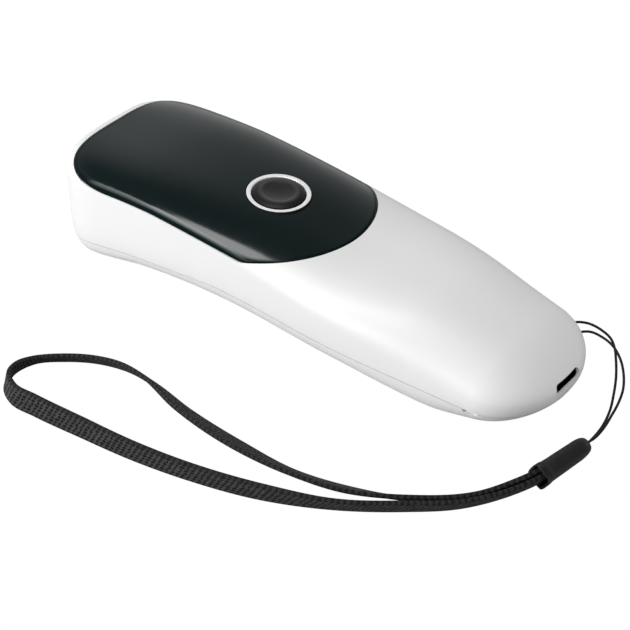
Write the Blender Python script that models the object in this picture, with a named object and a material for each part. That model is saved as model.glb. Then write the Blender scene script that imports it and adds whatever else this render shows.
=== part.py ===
"""Pocket barcode scanner with a wrist strap.

Metres, +Z up. The scanner lies on a table at Z = 0 with its scan window facing -Y and its
charging port facing +Y. The body pieces are drawn in the deck frame: its origin is the centre
of the trigger on the crown, its Y axis runs along the body and its Z axis is square to the
deck. One empty tilts and lifts that frame onto the table.
"""
import math

import bmesh
import bpy
import numpy as np
from mathutils import Matrix, Vector

# Stance of the deck frame on the table
DECK_TILT = math.radians(3.08)
DECK_SETBACK = 0.01272

# Outer body, along the deck's Y axis
NOSE_Y = -0.05375
BODY_LENGTH = 0.13385
BODY_HALF_WIDTH = 0.02198
BODY_DEPTH = 0.0284
DECK_HEIGHT_SHARE = 0.9694
DECK_HEIGHT = BODY_DEPTH * DECK_HEIGHT_SHARE
TAIL_Y = NOSE_Y + BODY_LENGTH
NOSE_CORNER_LENGTH = 0.01937
NOSE_EDGE_RADIUS = 0.00197
TAIL_ROUND_LENGTH = 0.01326
TAIL_FACET_DEPTH = 0.0008
WALL = 0.0018

# Shares along the body's length, from nose to tail, against shares of the named sizes
WIDTH_SHARES = ((0.0, 0.968), (0.18, 0.968), (0.40, 0.972), (0.63, 1.0), (0.85, 0.878), (1.0, 0.807))
CROWN_DROP_SHARES = ((0.0, 0.118), (0.03, 0.098), (0.21, 0.016), (0.40, 0.0), (0.59, 0.047), (0.78, 0.045), (1.0, 0.221))
BELLY_DROP_SHARES = (
    (0.0, 1.062), (0.07, 1.062), (0.25, 0.857), (0.44, 0.767), (0.63, 0.786), (0.79, 0.882), (0.84, 0.875), (1.0, 0.662))
PARTING_DROP_SHARES = ((0.0, 0.90), (0.065, 0.850), (0.18, 0.722), (0.29, 0.634), (0.40, 0.546), (0.55, 0.511), (1.0, 0.504))
BLEND_START_SHARE = 0.25
BLEND_END_SHARE = 0.92
WIDEST_SHARES = (0.766, 0.559)
UPPER_ROUND_SHARES = (3.67, 2.38)
LOWER_ROUND_SHARES = (5.34, 2.02)
NOSE_PLAN_SHARE = 3.59
NOSE_EDGE_SHARE = 2.2
TAIL_PLAN_SHARE = 1.98
UNDERCUT_SHARE = 0.091
UNDERCUT_REACH = 0.030

# Top panel
PANEL_SIDE_SETBACK = 0.00081
PANEL_HALF_WIDTH = BODY_HALF_WIDTH - PANEL_SIDE_SETBACK
PANEL_FRONT_SETBACK = 0.00346
PANEL_FRONT_Y = NOSE_Y + PANEL_FRONT_SETBACK
PANEL_REAR_Y = 0.02243
PANEL_FRONT_LENGTH = 0.0175
PANEL_REAR_LENGTH = 0.0172
PANEL_FRONT_SHARE = 3.68
PANEL_REAR_SHARE = 1.94
PANEL_THICKNESS = 0.0018
PANEL_EDGE = 0.0004
PANEL_SHOULDER = 0.0014

# Clearances
SEAT_GAP = 0.0003
SEAM_GAP = 0.0002
PRY_NOTCH_SETBACK = 0.0134
PRY_NOTCH_LENGTH = 0.0034
PRY_NOTCH_HEIGHT = 0.0009
PRY_NOTCH_DEPTH = 0.0009
RUN_GAP = 0.0003
OVERRUN = 0.004

# Inner roof below the panel
DECK_THICKNESS = 0.0016
ROOF_SIDE_DROP = 0.0035
ROOF_END_Y = 0.0235
ROOF_FADE = 0.010

# Trigger ring, cap and keeper
RING_OUTER_RADIUS = 0.0075
RING_INNER_RADIUS = 0.00636
RING_RISE = 0.0002
RING_LIP = 0.0003
CAP_CREST_RADIUS = 0.0046
CAP_DISH_RADIUS = 0.0040
CAP_RISE = 0.0007
CAP_EDGE_RISE = 0.0002
CAP_DISH_RISE = 0.00025
CAP_FLANGE_RADIUS = 0.0074
CAP_FLANGE_THICKNESS = 0.0006
CAP_SKIN = 0.0012
STEM_RADIUS = 0.0016
TRIGGER_TRAVEL = 0.0006
TRIGGER_OVERTRAVEL_ROOM = 0.0003
DECK_HOLE_RADIUS = 0.0066
KEEPER_RADIUS = 0.0114
KEEPER_RIM = 0.0031
KEEPER_THICKNESS = 0.0008
KEEPER_HOLE_RADIUS = 0.0028
KEEPER_PIN_RADIUS = 0.0008
KEEPER_PIN_OFFSET = 0.0099

# Main board and what stands on it
BOARD_DROP_SHARE = 0.449
BOARD_TOP = BODY_DEPTH * BOARD_DROP_SHARE
BOARD_THICKNESS = 0.0012
BOARD_FRONT_Y = -0.022
BOARD_REAR_SETBACK = 0.0066
BOARD_REAR_Y = TAIL_Y - BOARD_REAR_SETBACK
BOARD_TAIL_SETBACK = 0.0221
BOARD_TAIL_Y = TAIL_Y - BOARD_TAIL_SETBACK
BOARD_SLANT = 0.006
BOARD_WAIST_Y = BOARD_TAIL_Y - BOARD_SLANT
BOARD_SIDE_SETBACK = 0.00648
BOARD_HALF_WIDTH = BODY_HALF_WIDTH - BOARD_SIDE_SETBACK
BOARD_TAIL_SIDE_SETBACK = 0.01298
BOARD_TAIL_HALF_WIDTH = BODY_HALF_WIDTH - BOARD_TAIL_SIDE_SETBACK
SWITCH_SIDE = 0.006
SWITCH_HEIGHT = 0.0025
PLUNGER_RADIUS = 0.0017
PLUNGER_RISE = 0.0009
PLUNGER_DEPTH = 0.0009
PLUNGER_TRAVEL = 0.00036
PLUNGER_ROOM = 0.0005
CHIP_BEVEL = 0.0001
PROCESSOR_SIZE = (0.009, 0.009, 0.0010)
PROCESSOR_PLACE = (0.0, 0.022)
MEMORY_SIZE = (0.006, 0.005, 0.0009)
MEMORY_PLACE = (0.0095, 0.021)
RADIO_SIZE = (0.012, 0.010, 0.0020)
RADIO_PLACE = (0.0, 0.033)
STATUS_LED_SIZE = (0.0016, 0.0008, 0.0006)
STATUS_LED_PLACE = (0.0060, 0.0)
CHARGER_SIZE = (0.004, 0.004, 0.0009)
CHARGER_PLACE = (0.0095, 0.0130)
BUZZER_RADIUS = 0.0045
BUZZER_HEIGHT = 0.0030
BUZZER_PORT_RADIUS = 0.0008
BUZZER_PORT_DEPTH = 0.0006
BUZZER_PLACE = (-0.0095, -0.0055)

# Charging port
PORT_WIDTH = 0.00894
PORT_HEIGHT = 0.00326
PORT_SHEET = 0.0003
PORT_BOARD_GAP = 0.00032
PORT_LENGTH = 0.0073
PORT_CENTRE_DROP = BOARD_TOP - 0.5 * PORT_HEIGHT - PORT_BOARD_GAP
PORT_SET_IN = 0.0003
PORT_RELIEF = 0.0003
TONGUE_WIDTH = 0.0067
TONGUE_THICKNESS = 0.0007
TONGUE_LENGTH = 0.0052
TONGUE_SET_IN = 0.0006
TONGUE_BASE_LENGTH = 0.0012
TONGUE_FIT = 0.0001

# Battery and its cradle
BATTERY_FRONT_Y = 0.006
BATTERY_TAIL_SETBACK = 0.0241
BATTERY_WIDTH_SHARE = 1.137
BATTERY_BOARD_GAP = 0.00055
BATTERY_FLOOR_SHARE = 0.767
BATTERY_FLOOR_GAP = 0.00098
BATTERY_TOP = BOARD_TOP + BOARD_THICKNESS + BATTERY_BOARD_GAP
BATTERY_LENGTH = TAIL_Y - BATTERY_TAIL_SETBACK - BATTERY_FRONT_Y
BATTERY_THICKNESS = BODY_DEPTH * BATTERY_FLOOR_SHARE - WALL - BATTERY_FLOOR_GAP - BATTERY_TOP
BATTERY_SIZE = (BODY_HALF_WIDTH * BATTERY_WIDTH_SHARE, BATTERY_LENGTH, BATTERY_THICKNESS)
BATTERY_CENTRE_Y = BATTERY_FRONT_Y + 0.5 * BATTERY_LENGTH
BATTERY_BEVEL = 0.0008
BATTERY_TAB_SIZE = (0.016, 0.003, 0.0024)
RIB_THICKNESS = 0.0012
RIB_SHARES = (-0.38, 0.0, 0.38)
RIB_WIDTH = BODY_HALF_WIDTH
RIB_HEIGHT = 0.006
SOCKET_SIZE = (0.0060, 0.0036, 0.0028)
SOCKET_SETBACK = 0.0101
SOCKET_PLACE = (0.0046, TAIL_Y - SOCKET_SETBACK)
PLUG_LENGTH = 0.0030
LEAD_RADIUS = 0.0005
LEAD_SPACING = 0.0022
LEAD_SAG = 0.0010
LEAD_STEP = 0.0012

# Scan window in the nose
WINDOW_DROP_SHARE = 0.542
WINDOW_CENTRE_DROP = BODY_DEPTH * WINDOW_DROP_SHARE
WINDOW_WIDTH_SHARE = 0.555
WINDOW_HALF_WIDTH = BODY_HALF_WIDTH * WINDOW_WIDTH_SHARE
WINDOW_HEIGHT_SHARE = 0.2606
WINDOW_HALF_HEIGHT = BODY_DEPTH * WINDOW_HEIGHT_SHARE
WINDOW_CORNER = 0.0026
WINDOW_THICKNESS = 0.0012
BEZEL_BORDER = 0.0014
BEZEL_SHADE = 0.0010
BEZEL_SET_IN = 0.0003
BEZEL_FRONT = 0.0016
BEZEL_DEPTH = 0.0060
BEZEL_FLANGE = 0.0010
BEZEL_FLANGE_THICKNESS = 0.0010

# Scan engine behind the window
ENGINE_WIDTH_SHARE = 0.955
ENGINE_WIDTH = BODY_HALF_WIDTH * ENGINE_WIDTH_SHARE
ENGINE_HEIGHT_SHARE = 0.493
ENGINE_HEIGHT = BODY_DEPTH * ENGINE_HEIGHT_SHARE
ENGINE_DEPTH = 0.0110
ENGINE_NOSE_SETBACK = 0.00975
ENGINE_FRONT_Y = NOSE_Y + ENGINE_NOSE_SETBACK
ENGINE_DROP_SHARE = 0.546
ENGINE_CENTRE_DROP = BODY_DEPTH * ENGINE_DROP_SHARE
ENGINE_BEVEL = 0.0004
BARREL_RADIUS = 0.0034
BARREL_RISE = 0.0018
BARREL_DEPTH = 0.0050
BARREL_PLACE_X = 0.0
LENS_RADIUS = 0.0022
LENS_THICKNESS = 0.0010
LENS_CROWN = 0.0005
LENS_SET_IN = 0.0006
LAMP_RADIUS = 0.0019
LAMP_RISE = 0.0012
LAMP_DEPTH = 0.0030
LAMP_SIDE_SETBACK = 0.0033
LAMP_PLACE_X = 0.5 * ENGINE_WIDTH - LAMP_SIDE_SETBACK
LAMP_PLACE_Z = 0.0032
AIMER_RADIUS = 0.0015
AIMER_RISE = 0.0006
AIMER_DEPTH = 0.0040
AIMER_SIDE_SETBACK = 0.0037
AIMER_PLACE = (0.5 * ENGINE_WIDTH - AIMER_SIDE_SETBACK, -0.0036)
ENGINE_BOARD_THICKNESS = 0.0010
SENSOR_SIZE = (0.0060, 0.0010, 0.0050)
SENSOR_WELL_DEPTH = 0.0050
BRACKET_WALL = 0.0011
EAR_LENGTH = 0.0046
EAR_WIDTH = 0.0070
EAR_SETBACK = 0.0045
EAR_Y = ENGINE_FRONT_Y + EAR_SETBACK
FLEX_WIDTH = 0.0080
FLEX_THICKNESS = 0.00025
FLEX_SOCKET_SIZE = (0.0100, 0.0030, 0.0016)
FLEX_SOCKET_Y = -0.0190

# Fasteners: shank radius, head radius, head height, length under the head
CASE_SCREW = (0.00085, 0.0019, 0.0013, 0.0090)
SMALL_SCREW = (0.0006, 0.0012, 0.0007, 0.0034)
SCREW_SLOT_DEPTH_SHARE = 0.55
SCREW_SLOT_WIDTH_SHARE = 0.28
POST_WALL = 0.0016
BODY_SCREW_ROOM = 0.01356
FRONT_SCREW_X = BODY_HALF_WIDTH - 0.5 * BODY_SCREW_ROOM
FRONT_SCREW_Y = -0.0256
REAR_SCREW_SETBACK = 0.0176
REAR_SCREW_SHARE = 0.564
CASE_SCREW_PLACES = {
    "front_left": (-FRONT_SCREW_X, FRONT_SCREW_Y), "front_right": (FRONT_SCREW_X, FRONT_SCREW_Y),
    "rear_left": (-BODY_HALF_WIDTH * REAR_SCREW_SHARE, TAIL_Y - REAR_SCREW_SETBACK),
    "rear_right": (BODY_HALF_WIDTH * REAR_SCREW_SHARE, TAIL_Y - REAR_SCREW_SETBACK)}
BOARD_SCREW_INSET = 0.0027
BOARD_SCREW_Y = -0.0170
BOARD_REAR_SCREW_SETBACK = 0.0161
BOARD_SCREW_PLACES = {
    "left": (-BOARD_HALF_WIDTH + BOARD_SCREW_INSET, BOARD_SCREW_Y),
    "right": (BOARD_HALF_WIDTH - BOARD_SCREW_INSET, BOARD_SCREW_Y),
    "rear": (0.0, TAIL_Y - BOARD_REAR_SCREW_SETBACK)}
CASE_SCREW_SEAT = 0.0016

# Strap: cord of the loop, clasp and woven band, in a frame of their own beside the body
LOOP_PLACE = (0.0, 0.0003, 0.0)
STRAP_HOLE_RADIUS = 0.0009
STRAP_HOLE_DEPTH = 0.0040
STRING_RADIUS = 0.00035
CORD_SIDES_SHARE = 2
STRING_STEP = 0.0018
BAND_WIDTH = 0.0053
BAND_THICKNESS = 0.00095
BAND_STEP = 0.0032
CLASP_MOUTH = (0.01992, 0.07236, 0.00406)
CLASP_CROWN = (0.00613, 0.07447, 0.00369)
CLASP_WIDTH = 0.00776
CLASP_THICKNESS = 0.00458
CLASP_LEAN = math.radians(29.0)
CLASP_WALL = 0.00065
CLASP_ROUND_LENGTH = 0.0030
CLASP_TAPER_SHARE = 0.094
CLASP_BORE_SHARE = 0.62
CLASP_ROUND_SHARE = 2.6
CLASP_BORE_ROUND_SHARE = 6.0
CLASP_STRING_HOLE_RADIUS = 0.0011

# The string leaves the scanner, passes round the bar between its two holes and comes back.
STRING_ROUTE = (
    (0.0079, 0.0741, 0.0032), (0.0056, 0.0742, 0.0031), (0.0022, 0.0743, 0.0031), (-0.0012, 0.0743, 0.0037),
    (-0.0055, 0.0736, 0.0050), (-0.0095, 0.0721, 0.0064), (-0.0131, 0.0704, 0.0077), (-0.0167, 0.0681, 0.0093),
    (-0.0190, 0.0663, 0.0103), (-0.0203, 0.0646, 0.0111), (-0.0209, 0.0615, 0.0119), (-0.0208, 0.0580, 0.0121),
    (-0.0198, 0.0558, 0.0119), (-0.0184, 0.0546, 0.0116), (-0.0165, 0.0539, 0.0116), (-0.0148, 0.0541, 0.0116),
    (-0.0139, 0.0554, 0.0116), (-0.0142, 0.0567, 0.0116), (-0.0155, 0.0575, 0.0117), (-0.0172, 0.0582, 0.0118),
    (-0.0184, 0.0599, 0.0121), (-0.0186, 0.0633, 0.0120), (-0.0180, 0.0661, 0.0116), (-0.0164, 0.0691, 0.0105),
    (-0.0137, 0.0718, 0.0089), (-0.0108, 0.0735, 0.0076), (-0.0076, 0.0744, 0.0065), (-0.0039, 0.0749, 0.0055),
    (-0.0003, 0.0752, 0.0046), (0.0029, 0.0751, 0.0041), (0.0056, 0.0746, 0.0041), (0.0079, 0.0743, 0.0042))

# Lower edge of the band from the clasp round the loop and back: x, y, lift, lean to the left of its run
BAND_ROUTE = (
    (0.0138, 0.0726, 0.0007, 29.0), (0.0189, 0.0718, 0.0009, 29.0), (0.0266, 0.0686, 0.0006, 33.1),
    (0.0354, 0.0627, 0.0002, 33.4), (0.0434, 0.0538, 0.0, 30.6), (0.0515, 0.0428, 0.0, 29.9),
    (0.0585, 0.0294, 0.0, 15.6), (0.0636, 0.0130, 0.0, 9.3), (0.0660, 0.0010, 0.0, 4.0),
    (0.0676, -0.0124, 0.0, -2.4), (0.0689, -0.0253, 0.0, -7.0), (0.0691, -0.0320, 0.0, -8.2),
    (0.0664, -0.0370, 0.0, -13.8), (0.0620, -0.0392, 0.0, -28.1), (0.0562, -0.0382, 0.0, -39.8),
    (0.0512, -0.0334, 0.0, -40.3), (0.0472, -0.0272, 0.0, -39.4), (0.0450, -0.0198, 0.0, -37.3),
    (0.0451, -0.0121, 0.0, -37.8), (0.0471, -0.0001, 0.0, -50.6), (0.0482, 0.0156, 0.0, -57.7),
    (0.0481, 0.0299, 0.0, -51.3), (0.0450, 0.0419, 0.0, -53.8), (0.0403, 0.0525, 0.0, -43.0),
    (0.0306, 0.0637, 0.0, -36.5), (0.0248, 0.0680, 0.0011, -31.8), (0.0185, 0.0707, 0.0015, -29.0),
    (0.0136, 0.0715, 0.0014, -29.0))

# Mesh fineness
BODY_SIDES = 36
BODY_NOSE_RINGS = 9
BODY_MID_RINGS = 13
BODY_TAIL_RINGS = 7
CAVITY_SIDES = 24
CAVITY_NOSE_RINGS = 7
CAVITY_MID_RINGS = 9
CAVITY_TAIL_RINGS = 4
PANEL_SIDES = 48
PANEL_TOP_RING_SHARES = (1.0, 0.985, 0.95, 0.88, 0.72, 0.42)
PANEL_BASE_RING_SHARES = (0.80, 0.42)
ROUND_STEPS = 32
SMALL_STEPS = 16
SCREW_STEPS = 12
CLASP_SIDES = 24

WHITE = (0.90, 0.90, 0.90)
GLOSS_BLACK = (0.012, 0.014, 0.015)
SATIN_BLACK = (0.025, 0.025, 0.026)
SATIN_SILVER = (0.80, 0.81, 0.82)
STEEL = (0.62, 0.63, 0.64)
SMOKE = (0.05, 0.012, 0.012)
BOARD_GREEN = (0.02, 0.12, 0.05)
CHIP_BLACK = (0.02, 0.02, 0.022)
PALE_PLASTIC = (0.78, 0.76, 0.70)
CLEAR = (0.85, 0.88, 0.92)
WRAP_SILVER = (0.55, 0.57, 0.60)
FLEX_AMBER = (0.55, 0.25, 0.05)
STRAP_BLACK = (0.016, 0.016, 0.017)
RED = (0.60, 0.03, 0.02)

materials = {}


def material(name, colour, roughness, metallic=0.0):
    """A Principled material, made once for each name."""
    if name not in materials:
        made = bpy.data.materials.new(name)
        made.use_nodes = True
        shader = made.node_tree.nodes["Principled BSDF"]
        shader.inputs["Base Color"].default_value = (*colour, 1.0)
        shader.inputs["Roughness"].default_value = roughness
        shader.inputs["Metallic"].default_value = metallic
        made.diffuse_color = (*colour, 1.0)
        materials[name] = made
    return materials[name]


def white_plastic():
    return material("white_plastic", WHITE, 0.35)


def black_plastic():
    return material("black_plastic", SATIN_BLACK, 0.45)


def chip_plastic():
    return material("chip_plastic", CHIP_BLACK, 0.5)


def steel():
    return material("steel", STEEL, 0.3, 1.0)


# Basic helpers

def clear_scene():
    for obj in list(bpy.data.objects):
        bpy.data.objects.remove(obj, do_unlink=True)


def link(name, data, parent=None, location=(0.0, 0.0, 0.0)):
    obj = bpy.data.objects.new(name, data)
    bpy.context.scene.collection.objects.link(obj)
    obj.parent = parent
    obj.location = location
    return obj


def solid(name, bm, look, parent=None, location=(0.0, 0.0, 0.0), smooth=True):
    """Turns a bmesh into a named object with faces pointing out."""
    bmesh.ops.recalc_face_normals(bm, faces=bm.faces)
    mesh = bpy.data.meshes.new(name)
    bm.to_mesh(mesh)
    bm.free()
    if smooth:
        mesh.shade_smooth()
        mesh.set_sharp_from_angle(angle=math.radians(35.0))
    if look is not None:
        mesh.materials.append(look)
    return link(name, mesh, parent, location)


def tool(name, bm, parent=None, location=(0.0, 0.0, 0.0)):
    """A cutter or a blank, left out of the model."""
    obj = solid(name, bm, None, parent, location, smooth=False)
    obj.hide_render = True
    obj.display_type = "WIRE"
    return obj


def combine(target, other, operation):
    step = target.modifiers.new(other.name, "BOOLEAN")
    step.operation = operation
    step.solver = "EXACT"
    step.object = other
    return target


def cut(target, other):
    return combine(target, other, "DIFFERENCE")


def fuse(target, other):
    return combine(target, other, "UNION")


def keep_inside(target, other):
    return combine(target, other, "INTERSECT")


def bridge(bm, ring_a, ring_b):
    count = len(ring_a)
    for i in range(count):
        j = (i + 1) % count
        bm.faces.new((ring_a[i], ring_a[j], ring_b[j], ring_b[i]))


def fan(bm, ring, apex):
    count = len(ring)
    for i in range(count):
        bm.faces.new((ring[i], ring[(i + 1) % count], apex))


def add_ring(bm, points):
    return [bm.verts.new(p) for p in points]


def add_lathe(bm, profile, steps, place=(0.0, 0.0, 0.0), turn=None):
    """Adds a body of revolution about Z; the profile starts and ends on the axis."""
    matrix = Matrix.Translation(place) @ (turn or Matrix.Identity(4))
    rings = []
    for radius, height in profile[1:-1]:
        ring = []
        for i in range(steps):
            angle = 2.0 * math.pi * i / steps
            ring.append(bm.verts.new(matrix @ Vector((radius * math.cos(angle), radius * math.sin(angle), height))))
        rings.append(ring)
    for ring_a, ring_b in zip(rings, rings[1:]):
        bridge(bm, ring_a, ring_b)
    fan(bm, rings[0], bm.verts.new(matrix @ Vector((0.0, 0.0, profile[0][1]))))
    fan(bm, rings[-1], bm.verts.new(matrix @ Vector((0.0, 0.0, profile[-1][1]))))


def add_tube(bm, inner, outer, low, high, steps):
    """Adds a washer or sleeve about Z."""
    rings = []
    for radius, height in ((inner, low), (outer, low), (outer, high), (inner, high)):
        angles = [2.0 * math.pi * i / steps for i in range(steps)]
        rings.append(add_ring(bm, [(radius * math.cos(a), radius * math.sin(a), height) for a in angles]))
    for ring_a, ring_b in zip(rings, rings[1:] + rings[:1]):
        bridge(bm, ring_a, ring_b)


def add_cylinder(bm, radius, low, high, steps, place=(0.0, 0.0), turn=None):
    profile = ((0.0, low), (radius, low), (radius, high), (0.0, high))
    add_lathe(bm, profile, steps, (place[0], place[1], 0.0), turn)


def add_prism(bm, outline, low, high, matrix=None):
    """Adds a straight prism over a flat outline, along local Z."""
    matrix = matrix or Matrix.Identity(4)
    base = [bm.verts.new(matrix @ Vector((x, y, low))) for x, y in outline]
    top = [bm.verts.new(matrix @ Vector((x, y, high))) for x, y in outline]
    bridge(bm, base, top)
    bm.faces.new(list(reversed(base)))
    bm.faces.new(top)


def rounded_rectangle(half_width, half_height, corner, steps=5):
    points = []
    for quarter in range(4):
        start = quarter * math.pi / 2.0
        sign_x = 1.0 if quarter in (0, 3) else -1.0
        sign_y = 1.0 if quarter in (0, 1) else -1.0
        for i in range(steps + 1):
            angle = start + (math.pi / 2.0) * i / steps
            points.append((sign_x * (half_width - corner) + corner * math.cos(angle),
                           sign_y * (half_height - corner) + corner * math.sin(angle)))
    return points


def add_block(bm, size, centre, bevel=0.0):
    made = bmesh.ops.create_cube(bm, size=1.0)["verts"]
    for vert in made:
        vert.co = Vector(vert.co[k] * size[k] + centre[k] for k in range(3))
    if bevel:
        edges = list({edge for vert in made for edge in vert.link_edges})
        bmesh.ops.bevel(bm, geom=edges, offset=bevel, segments=1, affect="EDGES")


def block(name, size, centre, look, parent, bevel=0.0):
    bm = bmesh.new()
    add_block(bm, size, (0.0, 0.0, 0.0), bevel)
    return solid(name, bm, look, parent, centre)


# Curves through tables of values

def through(table, share):
    """A smooth curve through rows of (share, value), read at one share."""
    xs = [row[0] for row in table]
    ys = [row[1] for row in table]
    slopes = []
    for i in range(len(xs)):
        low = max(i - 1, 0)
        high = min(i + 1, len(xs) - 1)
        slopes.append((ys[high] - ys[low]) / (xs[high] - xs[low]))
    share = min(max(share, xs[0]), xs[-1])
    i = 0
    while i < len(xs) - 2 and share > xs[i + 1]:
        i += 1
    span = xs[i + 1] - xs[i]
    t = (share - xs[i]) / span
    return ((2 * t ** 3 - 3 * t ** 2 + 1) * ys[i] + (t ** 3 - 2 * t ** 2 + t) * span * slopes[i]
            + (3 * t ** 2 - 2 * t ** 3) * ys[i + 1] + (t ** 3 - t ** 2) * span * slopes[i + 1])


def rounding(share, power):
    """Goes from 1 at share 0 to 0 at share 1 along a superellipse."""
    share = min(max(share, 0.0), 1.0)
    return (1.0 - share ** power) ** (1.0 / power)


def smooth_route(route, step):
    """Points a step apart on a smooth curve through the route; rows may hold more than x, y, z."""
    rows = np.array(route, dtype=float)
    spans = np.linalg.norm(np.diff(rows[:, :2], axis=0), axis=1)
    if rows.shape[1] == 3:
        spans = np.linalg.norm(np.diff(rows, axis=0), axis=1)
    knots = np.concatenate([[0.0], np.cumsum(spans)])
    slopes = np.gradient(rows, knots, axis=0)
    count = max(int(round(knots[-1] / step)), 2)
    points = []
    for at in np.linspace(0.0, knots[-1], count + 1):
        i = min(int(np.searchsorted(knots, at, side="right")) - 1, len(knots) - 2)
        span = knots[i + 1] - knots[i]
        t = (at - knots[i]) / span
        points.append((2 * t ** 3 - 3 * t ** 2 + 1) * rows[i] + (t ** 3 - 2 * t ** 2 + t) * span * slopes[i]
                      + (3 * t ** 2 - 2 * t ** 3) * rows[i + 1] + (t ** 3 - t ** 2) * span * slopes[i + 1])
    return np.array(points)


def round_cord(name, route, step, radius, look, parent=None):
    """A round cord with capped ends along a smooth route."""
    curve = bpy.data.curves.new(name, "CURVE")
    curve.dimensions = "3D"
    curve.bevel_depth = radius
    curve.bevel_resolution = CORD_SIDES_SHARE
    curve.use_fill_caps = True
    points = smooth_route(route, step)
    line = curve.splines.new("POLY")
    line.points.add(len(points) - 1)
    for point, place in zip(line.points, points):
        point.co = (*place, 1.0)
    curve.materials.append(look)
    return link(name, curve, parent)


# The body's own surface, in the deck frame

def length_share(y):
    return (y - NOSE_Y) / BODY_LENGTH


def roof_fade(y):
    """1 below the panel, 0 behind it."""
    t = min(max((ROOF_END_Y + ROOF_FADE - y) / ROOF_FADE, 0.0), 1.0)
    return t * t * (3.0 - 2.0 * t)


def section(y, inset=0.0, roof=False):
    """Half width, widest height, upper and lower heights and their powers at y."""
    share = length_share(y)
    blend = min(max((share - BLEND_START_SHARE) / (BLEND_END_SHARE - BLEND_START_SHARE), 0.0), 1.0)
    widest = WIDEST_SHARES[0] + (WIDEST_SHARES[1] - WIDEST_SHARES[0]) * blend
    upper_power = UPPER_ROUND_SHARES[0] + (UPPER_ROUND_SHARES[1] - UPPER_ROUND_SHARES[0]) * blend
    lower_power = LOWER_ROUND_SHARES[0] + (LOWER_ROUND_SHARES[1] - LOWER_ROUND_SHARES[0]) * blend
    top = -BODY_DEPTH * through(CROWN_DROP_SHARES, share)
    base = -BODY_DEPTH * through(BELLY_DROP_SHARES, share)
    mid = base + (top - base) * widest
    half = BODY_HALF_WIDTH * through(WIDTH_SHARES, share) - inset
    if roof:
        fade = roof_fade(y)
        top -= (PANEL_THICKNESS + SEAT_GAP + DECK_THICKNESS - inset) * fade
        mid -= ROOF_SIDE_DROP * fade
    nose = NOSE_Y + inset
    tail = NOSE_Y + BODY_LENGTH - inset
    tail_factor = rounding((y - tail + TAIL_ROUND_LENGTH) / TAIL_ROUND_LENGTH, TAIL_PLAN_SHARE)
    nose_width = rounding((nose + NOSE_CORNER_LENGTH - y) / NOSE_CORNER_LENGTH, NOSE_PLAN_SHARE)
    nose_height = rounding((nose + NOSE_EDGE_RADIUS - y) / NOSE_EDGE_RADIUS, NOSE_EDGE_SHARE)
    upper = (top - inset - mid) * tail_factor * nose_height
    lower = (mid - base - inset) * tail_factor * nose_height
    return half * tail_factor * nose_width, mid, upper, lower, upper_power, lower_power


def crown_height(x, y):
    """Height of the body's top surface above a point of the plan."""
    half, mid, upper, _, power, _ = section(y)
    return mid + upper * rounding(abs(x) / half, power)


def roof_height(x, y):
    """Height of the inner roof above a point of the plan."""
    half, mid, upper, _, power, _ = section(y, WALL, True)
    return mid + upper * rounding(abs(x) / half, power)


def side_reach(y, z):
    """Half width of the body at a height of its section at y."""
    half, mid, upper, lower, upper_power, lower_power = section(y)
    if z > mid:
        return half * rounding((z - mid) / upper, upper_power)
    return half * rounding((mid - z) / lower, lower_power)


def leaned(y, z):
    """The nose's face leans back towards its foot."""
    fade = min(max((NOSE_Y + UNDERCUT_REACH - y) / UNDERCUT_REACH, 0.0), 1.0)
    return y + UNDERCUT_SHARE * max(-z, 0.0) * fade


def table_height(y):
    """The table's height below the deck at y, in the deck frame."""
    return (math.sin(DECK_TILT) * y - DECK_HEIGHT) / math.cos(DECK_TILT)


def body_ring(y, sides, inset, roof, rest):
    half, mid, upper, lower, upper_power, lower_power = section(y, inset, roof)
    points = []
    for i in range(sides):
        angle = 2.0 * math.pi * (i + 0.5) / sides
        c, s = math.cos(angle), math.sin(angle)
        power, height = (upper_power, upper) if s >= 0.0 else (lower_power, lower)
        x = half * math.copysign(abs(c) ** (2.0 / power), c)
        z = mid + height * math.copysign(abs(s) ** (2.0 / power), s)
        place = leaned(y, z)
        if rest:
            z = max(z, table_height(place))
        points.append((x, place, z))
    return points


def body_stations(nose, tail, nose_rings, mid_rings, tail_rings, end):
    """Places along Y, closer together where the nose and the tail turn round."""
    stations = []
    for i in range(1, nose_rings + 1):
        stations.append(nose + NOSE_CORNER_LENGTH * (1.0 - math.cos(0.5 * math.pi * i / nose_rings)))
    tail_start = tail - TAIL_ROUND_LENGTH
    for i in range(1, mid_rings + 1):
        stations.append(nose + NOSE_CORNER_LENGTH + (tail_start - nose - NOSE_CORNER_LENGTH) * i / mid_rings)
    last = math.asin((end - tail_start) / TAIL_ROUND_LENGTH)
    for i in range(1, tail_rings + 1):
        stations.append(tail_start + TAIL_ROUND_LENGTH * math.sin(last * i / tail_rings))
    return stations


def add_body(bm, sides, rings, inset=0.0, roof=False, facet=TAIL_FACET_DEPTH, rest=False):
    """Adds the closed body, drawn in by an inset, with a flat facet at its tail."""
    nose = NOSE_Y + inset
    tail = NOSE_Y + BODY_LENGTH - inset
    previous = None
    for y in body_stations(nose, tail, *rings, tail - facet):
        ring = add_ring(bm, body_ring(y, sides, inset, roof, rest))
        if previous is None:
            mid = section(y, inset, roof)[1]
            fan(bm, ring, bm.verts.new((0.0, leaned(nose, mid), mid)))
        else:
            bridge(bm, previous, ring)
        previous = ring
    bm.faces.new(previous)


def parting_height(y):
    return -BODY_DEPTH * through(PARTING_DROP_SHARES, length_share(y))


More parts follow.
